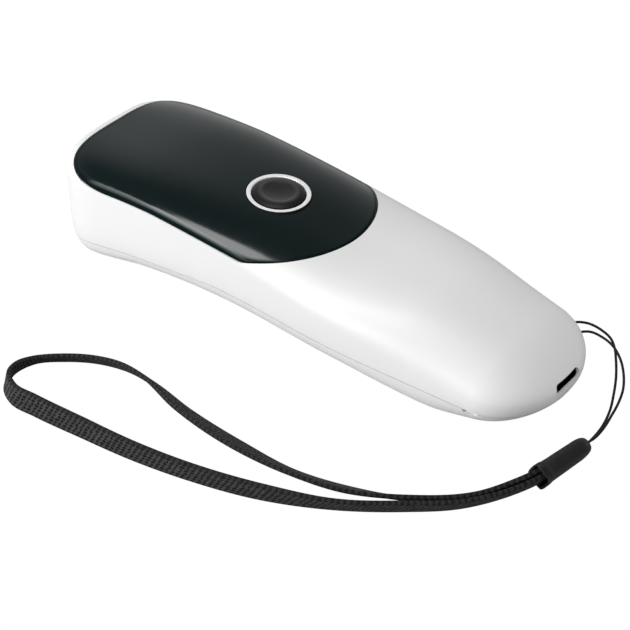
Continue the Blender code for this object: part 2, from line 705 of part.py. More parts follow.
def parting_tool(name, frame, upper_side, gap):
    """A block with the parting surface as its face; it removes one side of the body."""
    bm = bmesh.new()
    far = 2.0 * BODY_DEPTH if upper_side else -2.0 * BODY_DEPTH
    offset = -gap if upper_side else gap
    rows = []
    count = BODY_MID_RINGS + BODY_TAIL_RINGS
    for i in range(count + 1):
        y = NOSE_Y - OVERRUN + (BODY_LENGTH + 2.0 * OVERRUN) * i / count
        z = parting_height(y) + offset
        wide = BODY_HALF_WIDTH + OVERRUN
        rows.append(add_ring(bm, [(-wide, y, z), (wide, y, z), (wide, y, far), (-wide, y, far)]))
    for row_a, row_b in zip(rows, rows[1:]):
        bridge(bm, row_a, row_b)
    bm.faces.new(rows[0])
    bm.faces.new(rows[-1])
    return tool(name, bm, frame)


# Top panel

def panel_half_width(y):
    front = rounding((PANEL_FRONT_Y + PANEL_FRONT_LENGTH - y) / PANEL_FRONT_LENGTH, PANEL_FRONT_SHARE)
    rear = rounding((y - PANEL_REAR_Y + PANEL_REAR_LENGTH) / PANEL_REAR_LENGTH, PANEL_REAR_SHARE)
    return PANEL_HALF_WIDTH * front * rear


def panel_outline():
    """Plan points of the panel's edge, evenly turned about its centre."""
    centre = 0.5 * (PANEL_FRONT_Y + PANEL_REAR_Y)
    reach = 0.5 * (PANEL_REAR_Y - PANEL_FRONT_Y)
    points = []
    for i in range(PANEL_SIDES):
        angle = 2.0 * math.pi * i / PANEL_SIDES
        across, along = math.sin(angle), math.cos(angle)
        low, high = 0.0, 2.0 * reach
        for _ in range(40):
            middle = 0.5 * (low + high)
            y = centre + middle * along
            inside = PANEL_FRONT_Y < y < PANEL_REAR_Y and abs(middle * across) < panel_half_width(y)
            low, high = (middle, high) if inside else (low, middle)
        points.append((low * across, centre + low * along))
    return points


def panel_rings(grow, drop, lift):
    """Rings of the panel from the middle of its top over its edge to the middle of its base."""
    centre = 0.5 * (PANEL_FRONT_Y + PANEL_REAR_Y)
    outline = panel_outline()
    rings = []
    for share in reversed(PANEL_TOP_RING_SHARES):
        rings.append([(x * share, centre + (y - centre) * share, 0.0) for x, y in outline])
        rings[-1] = [(x, y, crown_height(x, y) + lift) for x, y, _ in rings[-1]]
    edge = rings[-1]
    spread = []
    for x, y, z in edge:
        away = Vector((x, y - centre)).normalized()
        spread.append((x + grow * away.x, y + grow * away.y, z))
    if grow:
        rings[-1] = spread
        rings[-2] = [(a[0], a[1], b[2]) for a, b in zip(rings[-2], rings[-2])]
    rings.append([(x, y, z - lift - PANEL_EDGE - drop) for x, y, z in spread])
    shoulder = []
    for x, y, z in edge:
        away = Vector((x, y - centre))
        inward = away.normalized() * (away.length - PANEL_SHOULDER)
        px, py = inward.x, centre + inward.y
        shoulder.append((px, py, crown_height(px, py) - PANEL_THICKNESS - drop))
    rings.append(shoulder)
    for share in PANEL_BASE_RING_SHARES:
        ring = [(x * share, centre + (y - centre) * share) for x, y in outline]
        rings.append([(x, y, crown_height(x, y) - PANEL_THICKNESS - drop) for x, y in ring])
    return rings, centre


def add_panel(bm, grow=0.0, drop=0.0, lift=0.0):
    rings, centre = panel_rings(grow, drop, lift)
    made = [add_ring(bm, ring) for ring in rings]
    for ring_a, ring_b in zip(made, made[1:]):
        bridge(bm, ring_a, ring_b)
    crown = crown_height(0.0, centre)
    fan(bm, made[0], bm.verts.new((0.0, centre, crown + lift)))
    fan(bm, made[-1], bm.verts.new((0.0, centre, crown - PANEL_THICKNESS - drop)))


def top_panel(frame):
    bm = bmesh.new()
    add_panel(bm)
    panel = solid("top_panel", bm, material("gloss_black", GLOSS_BLACK, 0.12), frame)
    bm = bmesh.new()
    add_cylinder(bm, RING_OUTER_RADIUS + SEAM_GAP, -OVERRUN, OVERRUN, ROUND_STEPS)
    return cut(panel, tool("panel_hole", bm, frame))


# Places shared by posts, screws and holes

def case_screw_seat(x, y):
    """Height of the seat under a case screw's head, a seat's thickness below the parting."""
    return parting_height(y) - CASE_SCREW_SEAT


def core_blank(name, frame, inset):
    """The body drawn in by part of its wall: posts and ribs end inside it."""
    bm = bmesh.new()
    add_body(bm, CAVITY_SIDES, (CAVITY_NOSE_RINGS, CAVITY_MID_RINGS, CAVITY_TAIL_RINGS), inset)
    return tool(name, bm, frame)


def upper_posts(frame):
    """Screw posts, engine posts and keeper pins under the roof."""
    bm = bmesh.new()
    for x, y in CASE_SCREW_PLACES.values():
        add_cylinder(bm, CASE_SCREW[0] + POST_WALL, parting_height(y) + SEAT_GAP, OVERRUN, SMALL_STEPS, (x, y))
    for x, y in BOARD_SCREW_PLACES.values():
        add_cylinder(bm, SMALL_SCREW[0] + POST_WALL, -BOARD_TOP + SEAT_GAP, OVERRUN, SMALL_STEPS, (x, y))
    for side in (-1.0, 1.0):
        add_cylinder(bm, SMALL_SCREW[0] + POST_WALL, ear_top() + SEAT_GAP, OVERRUN, SMALL_STEPS, (side * ear_x(), EAR_Y))
        pin_end = keeper_top() - KEEPER_THICKNESS - SEAT_GAP
        add_cylinder(bm, KEEPER_PIN_RADIUS, pin_end, OVERRUN, SCREW_STEPS, (side * KEEPER_PIN_OFFSET, 0.0))
    posts = tool("upper_posts", bm, frame)
    return keep_inside(posts, core_blank("upper_core", frame, 0.5 * WALL))


def lower_posts(frame):
    """Screw posts and cradle ribs on the floor."""
    bm = bmesh.new()
    for x, y in CASE_SCREW_PLACES.values():
        radius = CASE_SCREW[1] + SEAT_GAP + POST_WALL
        add_cylinder(bm, radius, -2.0 * BODY_DEPTH, parting_height(y) - SEAT_GAP, SMALL_STEPS, (x, y))
    for share in RIB_SHARES:
        y = BATTERY_CENTRE_Y + share * BATTERY_SIZE[1]
        top = -BATTERY_TOP - BATTERY_SIZE[2] - SEAT_GAP
        add_block(bm, (RIB_WIDTH, RIB_THICKNESS, RIB_HEIGHT), (0.0, y, top - 0.5 * RIB_HEIGHT))
    posts = tool("lower_posts", bm, frame)
    return keep_inside(posts, core_blank("lower_core", frame, 0.5 * WALL))


def cavity(name, frame):
    bm = bmesh.new()
    rings = (CAVITY_NOSE_RINGS, CAVITY_MID_RINGS, CAVITY_TAIL_RINGS)
    add_body(bm, CAVITY_SIDES, rings, WALL, roof=True, facet=WALL)
    return tool(name, bm, frame)


def window_matrix():
    """Local Z points out of the nose's face, X across it and Y up it."""
    lean = math.atan(UNDERCUT_SHARE)
    face_y = NOSE_Y + UNDERCUT_SHARE * WINDOW_CENTRE_DROP
    turn = Matrix.Rotation(math.radians(90.0) + lean, 4, "X")
    return Matrix.Translation((0.0, face_y, -WINDOW_CENTRE_DROP)) @ turn


def bezel_half_sizes():
    return (WINDOW_HALF_WIDTH + BEZEL_BORDER, WINDOW_HALF_HEIGHT + BEZEL_BORDER)


def port_outline(grow):
    half_height = 0.5 * PORT_HEIGHT + grow
    return rounded_rectangle(0.5 * PORT_WIDTH + grow, half_height, half_height * 0.98, 6)


def port_matrix(y):
    """Local Z points out of the tail along Y, at the port's centre."""
    turn = Matrix.Rotation(math.radians(-90.0), 4, "X")
    return Matrix.Translation((0.0, y, -PORT_CENTRE_DROP)) @ turn


def facet_y():
    return NOSE_Y + BODY_LENGTH - TAIL_FACET_DEPTH


def strap_holes(bm):
    """Two holes side by side through the wall, with a bar of wall left between them."""
    to_deck = deck_matrix().inverted() @ Matrix.Translation(LOOP_PLACE)
    for inner, outer in ((15, 13), (17, 19)):
        start = to_deck @ Vector(STRING_ROUTE[inner])
        end = to_deck @ Vector(STRING_ROUTE[outer])
        away = (end - start).normalized()
        turn = away.to_track_quat("Z", "Y").to_matrix().to_4x4()
        profile_low, profile_high = -STRAP_HOLE_DEPTH, STRAP_HOLE_DEPTH
        middle = 0.5 * (start + end)
        profile = ((0.0, profile_low), (STRAP_HOLE_RADIUS, profile_low), (STRAP_HOLE_RADIUS, profile_high), (0.0, profile_high))
        add_lathe(bm, profile, SMALL_STEPS, middle, turn)


def upper_holes(frame):
    """Every hole through the upper housing."""
    bm = bmesh.new()
    add_cylinder(bm, DECK_HOLE_RADIUS, -2.0 * OVERRUN, OVERRUN, ROUND_STEPS)
    bezel_x, bezel_y = bezel_half_sizes()
    outline = rounded_rectangle(bezel_x + SEAM_GAP, bezel_y + SEAM_GAP, WINDOW_CORNER + BEZEL_BORDER)
    add_prism(bm, outline, -BEZEL_DEPTH - SEAT_GAP, OVERRUN, window_matrix())
    add_prism(bm, port_outline(SEAT_GAP), -2.0 * OVERRUN, OVERRUN, port_matrix(facet_y()))
    for x, y in CASE_SCREW_PLACES.values():
        depth = case_screw_seat(x, y) + CASE_SCREW[3] + RUN_GAP
        add_cylinder(bm, CASE_SCREW[0] + RUN_GAP, -2.0 * BODY_DEPTH, depth, SCREW_STEPS, (x, y))
    for x, y in BOARD_SCREW_PLACES.values():
        depth = -BOARD_TOP - BOARD_THICKNESS - SEAT_GAP + SMALL_SCREW[3] + RUN_GAP
        add_cylinder(bm, SMALL_SCREW[0] + RUN_GAP, -BODY_DEPTH, depth, SCREW_STEPS, (x, y))
    for side in (-1.0, 1.0):
        depth = ear_top() - BRACKET_WALL - SEAT_GAP + SMALL_SCREW[3] + RUN_GAP
        add_cylinder(bm, SMALL_SCREW[0] + RUN_GAP, -BODY_DEPTH, depth, SCREW_STEPS, (side * ear_x(), EAR_Y))
    strap_holes(bm)
    return tool("upper_holes", bm, frame)


def body_shell(name, frame):
    """The whole outer wall before it is parted."""
    bm = bmesh.new()
    add_body(bm, BODY_SIDES, (BODY_NOSE_RINGS, BODY_MID_RINGS, BODY_TAIL_RINGS), rest=True)
    shell = solid(name, bm, white_plastic(), frame)
    return shell


def upper_housing(frame):
    shell = body_shell("upper_housing", frame)
    cut(shell, cavity("upper_cavity", frame))
    fuse(shell, upper_posts(frame))
    bm = bmesh.new()
    add_panel(bm, grow=SEAM_GAP, drop=SEAT_GAP, lift=OVERRUN)
    cut(shell, tool("panel_seat", bm, frame))
    cut(shell, parting_tool("below_parting", frame, False, 0.5 * SEAM_GAP))
    return cut(shell, upper_holes(frame))


def add_pry_notch(bm):
    """A nick in the rim on the near side, where the shell is prised open."""
    y = TAIL_Y - PRY_NOTCH_SETBACK
    rim = parting_height(y)
    middle = side_reach(y, rim) + 0.5 * PRY_NOTCH_DEPTH
    add_block(bm, (3.0 * PRY_NOTCH_DEPTH, PRY_NOTCH_LENGTH, 2.0 * PRY_NOTCH_HEIGHT), (middle, y, rim))


def lower_cover(frame):
    shell = body_shell("lower_cover", frame)
    cut(shell, cavity("lower_cavity", frame))
    fuse(shell, lower_posts(frame))
    cut(shell, parting_tool("above_parting", frame, True, 0.5 * SEAM_GAP))
    bm = bmesh.new()
    for x, y in CASE_SCREW_PLACES.values():
        seat = case_screw_seat(x, y)
        wide, narrow = CASE_SCREW[1] + RUN_GAP, CASE_SCREW[0] + RUN_GAP
        profile = ((0.0, -2.0 * BODY_DEPTH), (wide, -2.0 * BODY_DEPTH), (wide, seat), (narrow, seat), (narrow, OVERRUN),
                   (0.0, OVERRUN))
        add_lathe(bm, profile, SMALL_STEPS, (x, y, 0.0))
    add_pry_notch(bm)
    return cut(shell, tool("lower_holes", bm, frame))


# Trigger

def trigger_ring(frame):
    """Bright ring with a bevelled inner edge round the trigger."""
    bm = bmesh.new()
    profile = (
        (RING_INNER_RADIUS, -PANEL_THICKNESS), (RING_OUTER_RADIUS, -PANEL_THICKNESS),
        (RING_OUTER_RADIUS, RING_RISE - 0.5 * RING_LIP), (RING_OUTER_RADIUS - 0.5 * RING_LIP, RING_RISE),
        (RING_INNER_RADIUS + RING_LIP, RING_RISE), (RING_INNER_RADIUS, RING_RISE - RING_LIP))
    rings = []
    for radius, height in profile:
        angles = [2.0 * math.pi * i / ROUND_STEPS for i in range(ROUND_STEPS)]
        rings.append(add_ring(bm, [(radius * math.cos(a), radius * math.sin(a), height) for a in angles]))
    for ring_a, ring_b in zip(rings, rings[1:] + rings[:1]):
        bridge(bm, ring_a, ring_b)
    return solid("trigger_ring", bm, material("satin_silver", SATIN_SILVER, 0.25, 0.6), frame)


def flange_top():
    """Top of the cap's flange, which the roof round the hole holds down."""
    return roof_height(CAP_FLANGE_RADIUS, CAP_FLANGE_RADIUS) - RUN_GAP


def keeper_top():
    """Top of the keeper's floor, below the flange at the end of its travel."""
    return flange_top() - CAP_FLANGE_THICKNESS - TRIGGER_TRAVEL - TRIGGER_OVERTRAVEL_ROOM


def plunger_top():
    return -BOARD_TOP + SEAT_GAP + SWITCH_HEIGHT + PLUNGER_RISE


def trigger_button(frame):
    """Dished cap with a flange that the ring holds down and a stem that reaches the switch."""
    edge = RING_INNER_RADIUS - RUN_GAP
    flange = flange_top()
    base = flange - CAP_FLANGE_THICKNESS
    hollow = edge - CAP_SKIN
    profile = (
        (0.0, CAP_DISH_RISE), (0.5 * CAP_DISH_RADIUS, CAP_DISH_RISE + 0.25 * (CAP_RISE - CAP_DISH_RISE)),
        (CAP_DISH_RADIUS, CAP_RISE - 0.15 * (CAP_RISE - CAP_DISH_RISE)), (CAP_CREST_RADIUS, CAP_RISE),
        (0.5 * (CAP_CREST_RADIUS + edge), CAP_EDGE_RISE + 0.7 * (CAP_RISE - CAP_EDGE_RISE)), (edge, CAP_EDGE_RISE),
        (edge, flange), (CAP_FLANGE_RADIUS, flange), (CAP_FLANGE_RADIUS, base), (hollow, base), (hollow, -CAP_SKIN),
        (STEM_RADIUS, -CAP_SKIN), (STEM_RADIUS, plunger_top() + RUN_GAP), (0.0, plunger_top() + RUN_GAP))
    bm = bmesh.new()
    add_lathe(bm, profile, ROUND_STEPS)
    return solid("trigger_button", bm, black_plastic(), frame)


def button_keeper(frame):
    """Cup under the roof that keeps the cap from dropping in, held on two pins."""
    top = keeper_top()
    reach = KEEPER_RADIUS
    rim = min(roof_height(reach, 0.0), roof_height(0.0, reach), roof_height(0.0, -reach)) - SEAT_GAP
    profile = (
        (KEEPER_HOLE_RADIUS, top - KEEPER_THICKNESS), (KEEPER_RADIUS, top - KEEPER_THICKNESS), (KEEPER_RADIUS, rim),
        (KEEPER_RADIUS - KEEPER_RIM, rim), (KEEPER_RADIUS - KEEPER_RIM, top), (KEEPER_HOLE_RADIUS, top))
    bm = bmesh.new()
    rings = []
    for radius, height in profile:
        angles = [2.0 * math.pi * i / (2 * SMALL_STEPS) for i in range(2 * SMALL_STEPS)]
        rings.append(add_ring(bm, [(radius * math.cos(a), radius * math.sin(a), height) for a in angles]))
    for ring_a, ring_b in zip(rings, rings[1:] + rings[:1]):
        bridge(bm, ring_a, ring_b)
    keeper = solid("button_keeper", bm, black_plastic(), frame)
    bm = bmesh.new()
    for side in (-1.0, 1.0):
        place = (side * KEEPER_PIN_OFFSET, 0.0)
        add_cylinder(bm, KEEPER_PIN_RADIUS + RUN_GAP, -BODY_DEPTH, OVERRUN, SCREW_STEPS, place)
    return cut(keeper, tool("keeper_pin_holes", bm, frame))


def switch_body(frame):
    side, height = SWITCH_SIDE, SWITCH_HEIGHT
    centre = (0.0, 0.0, -BOARD_TOP + SEAT_GAP + 0.5 * height)
    body = block("switch_body", (side, side, height), centre, chip_plastic(), frame, CHIP_BEVEL)
    bm = bmesh.new()
    low = 0.5 * height - PLUNGER_DEPTH - PLUNGER_ROOM
    add_cylinder(bm, PLUNGER_RADIUS + RUN_GAP, low, height, SMALL_STEPS)
    return cut(body, tool("switch_bore", bm, frame, centre))


def switch_plunger(frame):
    bm = bmesh.new()
    add_cylinder(bm, PLUNGER_RADIUS, -PLUNGER_RISE - PLUNGER_DEPTH, 0.0, 2 * SMALL_STEPS)
    return solid("switch_plunger", bm, material("switch_cream", PALE_PLASTIC, 0.5), frame, (0.0, 0.0, plunger_top()))


# Main board

def main_board(frame):
    half, tail = BOARD_HALF_WIDTH, BOARD_TAIL_HALF_WIDTH
    outline = [
        (-half, BOARD_FRONT_Y), (half, BOARD_FRONT_Y), (half, BOARD_WAIST_Y), (tail, BOARD_TAIL_Y),
        (tail, BOARD_REAR_Y), (-tail, BOARD_REAR_Y), (-tail, BOARD_TAIL_Y), (-half, BOARD_WAIST_Y)]
    bm = bmesh.new()
    add_prism(bm, outline, -BOARD_TOP - BOARD_THICKNESS, -BOARD_TOP)
    board = solid("main_board", bm, material("board_green", BOARD_GREEN, 0.4), frame)
    bm = bmesh.new()
    for x, y in BOARD_SCREW_PLACES.values():
        add_cylinder(bm, SMALL_SCREW[0] + RUN_GAP, -BODY_DEPTH, OVERRUN, SCREW_STEPS, (x, y))
    return cut(board, tool("board_holes", bm, frame))


def on_board(size, place):
    return (place[0], place[1], -BOARD_TOP + SEAT_GAP + 0.5 * size[2])


def board_chips(frame):
    block("processor_chip", PROCESSOR_SIZE, on_board(PROCESSOR_SIZE, PROCESSOR_PLACE), chip_plastic(), frame, CHIP_BEVEL)
    block("memory_chip", MEMORY_SIZE, on_board(MEMORY_SIZE, MEMORY_PLACE), chip_plastic(), frame, CHIP_BEVEL)
    block("radio_shield", RADIO_SIZE, on_board(RADIO_SIZE, RADIO_PLACE), steel(), frame, CHIP_BEVEL)
    block("charger_chip", CHARGER_SIZE, on_board(CHARGER_SIZE, CHARGER_PLACE), chip_plastic(), frame, CHIP_BEVEL)
    led = material("led_white", CLEAR, 0.3)
    block("status_led", STATUS_LED_SIZE, on_board(STATUS_LED_SIZE, STATUS_LED_PLACE), led, frame, CHIP_BEVEL)


def buzzer(frame):
    base = -BOARD_TOP + SEAT_GAP
    profile = (
        (0.0, 0.0), (BUZZER_RADIUS, 0.0), (BUZZER_RADIUS, BUZZER_HEIGHT), (BUZZER_PORT_RADIUS, BUZZER_HEIGHT),
        (BUZZER_PORT_RADIUS, BUZZER_HEIGHT - BUZZER_PORT_DEPTH), (0.0, BUZZER_HEIGHT - BUZZER_PORT_DEPTH))
    bm = bmesh.new()
    add_lathe(bm, profile, 2 * SCREW_STEPS)
    return solid("buzzer", bm, chip_plastic(), frame, (*BUZZER_PLACE, base))


# Charging port

def port_shell(frame):
    """Drawn steel sleeve of the charging port, open at both ends."""
    outer = port_outline(0.0)
    inner = port_outline(-PORT_SHEET)
    place = port_matrix(facet_y() - PORT_SET_IN)
    bm = bmesh.new()
    loops = []
    for outline, depth in ((outer, 0.0), (outer, -PORT_LENGTH), (inner, -PORT_LENGTH), (inner, 0.0)):
        loops.append([bm.verts.new(place @ Vector((x, y, depth))) for x, y in outline])
    for loop_a, loop_b in zip(loops, loops[1:] + loops[:1]):
        bridge(bm, loop_a, loop_b)
    return solid("port_shell", bm, steel(), frame)


def port_tongue(frame):
    """Contact tongue on its moulded base, inside the sleeve."""
    front = facet_y() - PORT_SET_IN
    base_front = front - PORT_LENGTH + TONGUE_BASE_LENGTH
    inner = port_outline(-PORT_SHEET - TONGUE_FIT)
    bm = bmesh.new()
    add_prism(bm, inner, 0.0, TONGUE_BASE_LENGTH, port_matrix(front - PORT_LENGTH))
    tongue = solid("port_tongue", bm, chip_plastic(), frame)
    bm = bmesh.new()
    length = TONGUE_LENGTH + 0.5 * TONGUE_BASE_LENGTH
    centre = (0.0, base_front - 0.5 * TONGUE_BASE_LENGTH + 0.5 * length, -PORT_CENTRE_DROP)
    add_block(bm, (TONGUE_WIDTH, length, TONGUE_THICKNESS), centre)
    return fuse(tongue, tool("tongue_blade", bm, frame))


# Battery

def battery(frame):
    centre = (0.0, BATTERY_CENTRE_Y, -BATTERY_TOP - 0.5 * BATTERY_SIZE[2])
    look = material("battery_wrap", WRAP_SILVER, 0.35, 0.4)
    block("battery_cell", BATTERY_SIZE, centre, look, frame, BATTERY_BEVEL)
    tab_y = BATTERY_CENTRE_Y + 0.5 * BATTERY_SIZE[1] + SEAT_GAP + 0.5 * BATTERY_TAB_SIZE[1]
    tab_z = -BATTERY_TOP - 0.5 * BATTERY_TAB_SIZE[2] - BATTERY_BEVEL
    block("battery_guard_board", BATTERY_TAB_SIZE, (0.0, tab_y, tab_z), material("guard_amber", FLEX_AMBER, 0.4), frame)


def battery_leads(frame):
    """Socket under the board, its plug, and the two leads from the battery's guard board."""
    x, y = SOCKET_PLACE
    pale = material("socket_cream", PALE_PLASTIC, 0.5)
    height = SOCKET_SIZE[2]
    z = -BOARD_TOP - BOARD_THICKNESS - SEAT_GAP - 0.5 * height
    block("battery_socket", SOCKET_SIZE, (x, y, z), pale, frame, CHIP_BEVEL)
    plug_y = y - 0.5 * SOCKET_SIZE[1] - SEAT_GAP - 0.5 * PLUG_LENGTH
    plug_size = (SOCKET_SIZE[0] - 2.0 * SEAT_GAP, PLUG_LENGTH, height - 2.0 * SEAT_GAP)
    block("battery_plug", plug_size, (x, plug_y, z), pale, frame, CHIP_BEVEL)
    start_y = BATTERY_CENTRE_Y + 0.5 * BATTERY_SIZE[1] + BATTERY_TAB_SIZE[1] + 2.0 * SEAT_GAP
    start_z = -BATTERY_TOP - 0.5 * BATTERY_TAB_SIZE[2] - BATTERY_BEVEL
    end_y = plug_y - 0.5 * PLUG_LENGTH - SEAT_GAP
    for name, side, colour in (("battery_lead_red", -0.5, RED), ("battery_lead_black", 0.5, SATIN_BLACK)):
        lane = x + side * LEAD_SPACING
        span = end_y - start_y
        route = (
            (lane, start_y, start_z), (lane, start_y + 0.15 * span, start_z),
            (lane, start_y + 0.5 * span, start_z - 0.5 * LEAD_SAG), (lane, start_y + 0.85 * span, z), (lane, end_y, z))
        round_cord(name, route, LEAD_STEP, LEAD_RADIUS, material(name, colour, 0.5), frame)


# Scan window

def scan_window(frame):
    inner_x, inner_y = WINDOW_HALF_WIDTH, WINDOW_HALF_HEIGHT
    bm = bmesh.new()
    back = -BEZEL_FRONT - SEAT_GAP - WINDOW_THICKNESS
    add_prism(bm, rounded_rectangle(inner_x, inner_y, WINDOW_CORNER), back, back + WINDOW_THICKNESS, window_matrix())
    return solid("scan_window", bm, material("window_smoke", SMOKE, 0.05), frame)


def window_bezel(frame):
    """Dark frame that follows the nose's curve, with a ledge for the window and side flanges behind the wall."""
    half_x, half_y = bezel_half_sizes()
    place = window_matrix()
    bm = bmesh.new()
    corner = WINDOW_CORNER + BEZEL_BORDER
    add_prism(bm, rounded_rectangle(half_x, half_y, corner), -BEZEL_DEPTH, OVERRUN, place)
    bezel = solid("window_bezel", bm, material("gloss_black", GLOSS_BLACK, 0.12), frame)
    keep_inside(bezel, core_blank_fine("bezel_skin", frame, BEZEL_SET_IN))
    bm = bmesh.new()
    outline = rounded_rectangle(half_x + BEZEL_FLANGE, half_y - BEZEL_FLANGE, corner)
    add_prism(bm, outline, -BEZEL_DEPTH, -BEZEL_DEPTH + BEZEL_FLANGE_THICKNESS, place)
    fuse(bezel, tool("bezel_flange", bm, frame))
    bm = bmesh.new()
    ledge = rounded_rectangle(WINDOW_HALF_WIDTH + SEAT_GAP, WINDOW_HALF_HEIGHT + SEAT_GAP, WINDOW_CORNER + SEAT_GAP)
    add_prism(bm, ledge, -BEZEL_DEPTH - OVERRUN, -BEZEL_FRONT, place)
    cut(bezel, tool("bezel_ledge", bm, frame))
    bm = bmesh.new()
    view = rounded_rectangle(WINDOW_HALF_WIDTH - BEZEL_SHADE, WINDOW_HALF_HEIGHT - BEZEL_SHADE, WINDOW_CORNER)
    add_prism(bm, view, -BEZEL_DEPTH, 2.0 * OVERRUN, place)
    return cut(bezel, tool("bezel_view", bm, frame))


def core_blank_fine(name, frame, inset):
    bm = bmesh.new()
    add_body(bm, BODY_SIDES, (BODY_NOSE_RINGS, BODY_MID_RINGS // 2, BODY_TAIL_RINGS // 2), inset)
    return tool(name, bm, frame)


# Scan engine

def ear_top():
    """Top of the bracket's ears, level with the engine's top."""
    return -ENGINE_CENTRE_DROP + 0.5 * ENGINE_HEIGHT


def ear_x():
    return 0.5 * ENGINE_WIDTH + SEAT_GAP + BRACKET_WALL + 0.5 * EAR_LENGTH


def engine_y(depth):
    """A place behind the engine's front face."""
    return ENGINE_FRONT_Y + depth


def facing_nose(x, z, depth=0.0):
    """Local Z points at the window from a place on the engine's front face."""
    turn = Matrix.Rotation(math.radians(90.0), 4, "X")
    return Matrix.Translation((x, engine_y(depth), -ENGINE_CENTRE_DROP + z)) @ turn


def round_bore(bm, radius, depth, x, z):
    profile = ((0.0, -depth), (radius, -depth), (radius, OVERRUN), (0.0, OVERRUN))
    add_lathe(bm, profile, 2 * SCREW_STEPS, (0.0, 0.0, 0.0), facing_nose(x, z))


def engine_housing(frame):
    centre = (0.0, engine_y(0.5 * ENGINE_DEPTH), -ENGINE_CENTRE_DROP)
    size = (ENGINE_WIDTH, ENGINE_DEPTH, ENGINE_HEIGHT)
    housing = block("engine_housing", size, centre, black_plastic(), frame, ENGINE_BEVEL)
    bm = bmesh.new()
    round_bore(bm, BARREL_RADIUS + RUN_GAP, BARREL_DEPTH, BARREL_PLACE_X, 0.0)
    for side in (-1.0, 1.0):
        round_bore(bm, LAMP_RADIUS + RUN_GAP, LAMP_DEPTH, side * LAMP_PLACE_X, LAMP_PLACE_Z)
    round_bore(bm, AIMER_RADIUS + RUN_GAP, AIMER_DEPTH, AIMER_PLACE[0], AIMER_PLACE[1])
    well = (SENSOR_SIZE[0] + 2.0 * SEAT_GAP, 2.0 * SENSOR_WELL_DEPTH, SENSOR_SIZE[2] + 2.0 * SEAT_GAP)
    add_block(bm, well, (BARREL_PLACE_X, engine_y(ENGINE_DEPTH), -ENGINE_CENTRE_DROP))
    return cut(housing, tool("engine_bores", bm, frame))


def lens_barrel(frame):
    """Sleeve of the camera lens, with a ledge for the glass."""
    outer, inner = BARREL_RADIUS, LENS_RADIUS + TONGUE_FIT
    ledge = LENS_RADIUS * 0.8
    front, back = BARREL_RISE, -BARREL_DEPTH + SEAT_GAP
    lens_back = front - LENS_SET_IN - LENS_THICKNESS - TONGUE_FIT
    profile = ((outer, back), (outer, front), (inner, front), (inner, lens_back), (ledge, lens_back), (ledge, back))
    place = facing_nose(BARREL_PLACE_X, 0.0)
    bm = bmesh.new()
    loops = []
    for radius, height in profile:
        angles = [2.0 * math.pi * i / (2 * SCREW_STEPS) for i in range(2 * SCREW_STEPS)]
        loops.append([bm.verts.new(place @ Vector((radius * math.cos(a), radius * math.sin(a), height))) for a in angles])
    for loop_a, loop_b in zip(loops, loops[1:] + loops[:1]):
        bridge(bm, loop_a, loop_b)
    return solid("lens_barrel", bm, black_plastic(), frame)


def camera_lens(frame):
    back = BARREL_RISE - LENS_SET_IN - LENS_THICKNESS
    profile = ((0.0, back), (LENS_RADIUS, back), (LENS_RADIUS, back + LENS_THICKNESS - LENS_CROWN),
               (LENS_RADIUS * 0.6, back + LENS_THICKNESS - LENS_CROWN * 0.3), (0.0, back + LENS_THICKNESS))
    bm = bmesh.new()
    add_lathe(bm, profile, 2 * SCREW_STEPS, (0.0, 0.0, 0.0), facing_nose(BARREL_PLACE_X, 0.0))
    return solid("camera_lens", bm, material("clear_glass", CLEAR, 0.02), frame)


def domed_lamp(name, frame, radius, rise, depth, x, z, look):
    profile = [(0.0, -depth + SEAT_GAP), (radius, -depth + SEAT_GAP), (radius, rise - radius * 0.5)]
    for i in range(1, 4):
        angle = 0.5 * math.pi * i / 4
        profile.append((radius * math.cos(angle), rise - radius * 0.5 * (1.0 - math.sin(angle))))
    profile.append((0.0, rise))
    bm = bmesh.new()
    add_lathe(bm, profile, SMALL_STEPS, (0.0, 0.0, 0.0), facing_nose(x, z))
    return solid(name, bm, look, frame)


def engine_lamps(frame):
    clear = material("lamp_clear", CLEAR, 0.1)
    for side, name in ((-1.0, "lamp_left"), (1.0, "lamp_right")):
        domed_lamp(name, frame, LAMP_RADIUS, LAMP_RISE, LAMP_DEPTH, side * LAMP_PLACE_X, LAMP_PLACE_Z, clear)
    red = material("aimer_red", RED, 0.2)
    domed_lamp("aimer_lens", frame, AIMER_RADIUS, AIMER_RISE, AIMER_DEPTH, *AIMER_PLACE, red)


def engine_board(frame):
    size = (ENGINE_WIDTH, ENGINE_BOARD_THICKNESS, ENGINE_HEIGHT)
    y = engine_y(ENGINE_DEPTH) + SEAT_GAP + 0.5 * ENGINE_BOARD_THICKNESS
    block("engine_board", size, (0.0, y, -ENGINE_CENTRE_DROP), material("board_green", BOARD_GREEN, 0.4), frame)
    sensor_y = engine_y(ENGINE_DEPTH) - 0.5 * SENSOR_SIZE[1]
    block("image_sensor", SENSOR_SIZE, (BARREL_PLACE_X, sensor_y, -ENGINE_CENTRE_DROP), chip_plastic(), frame, CHIP_BEVEL)


def engine_back_y():
    return engine_y(ENGINE_DEPTH) + ENGINE_BOARD_THICKNESS + 2.0 * SEAT_GAP


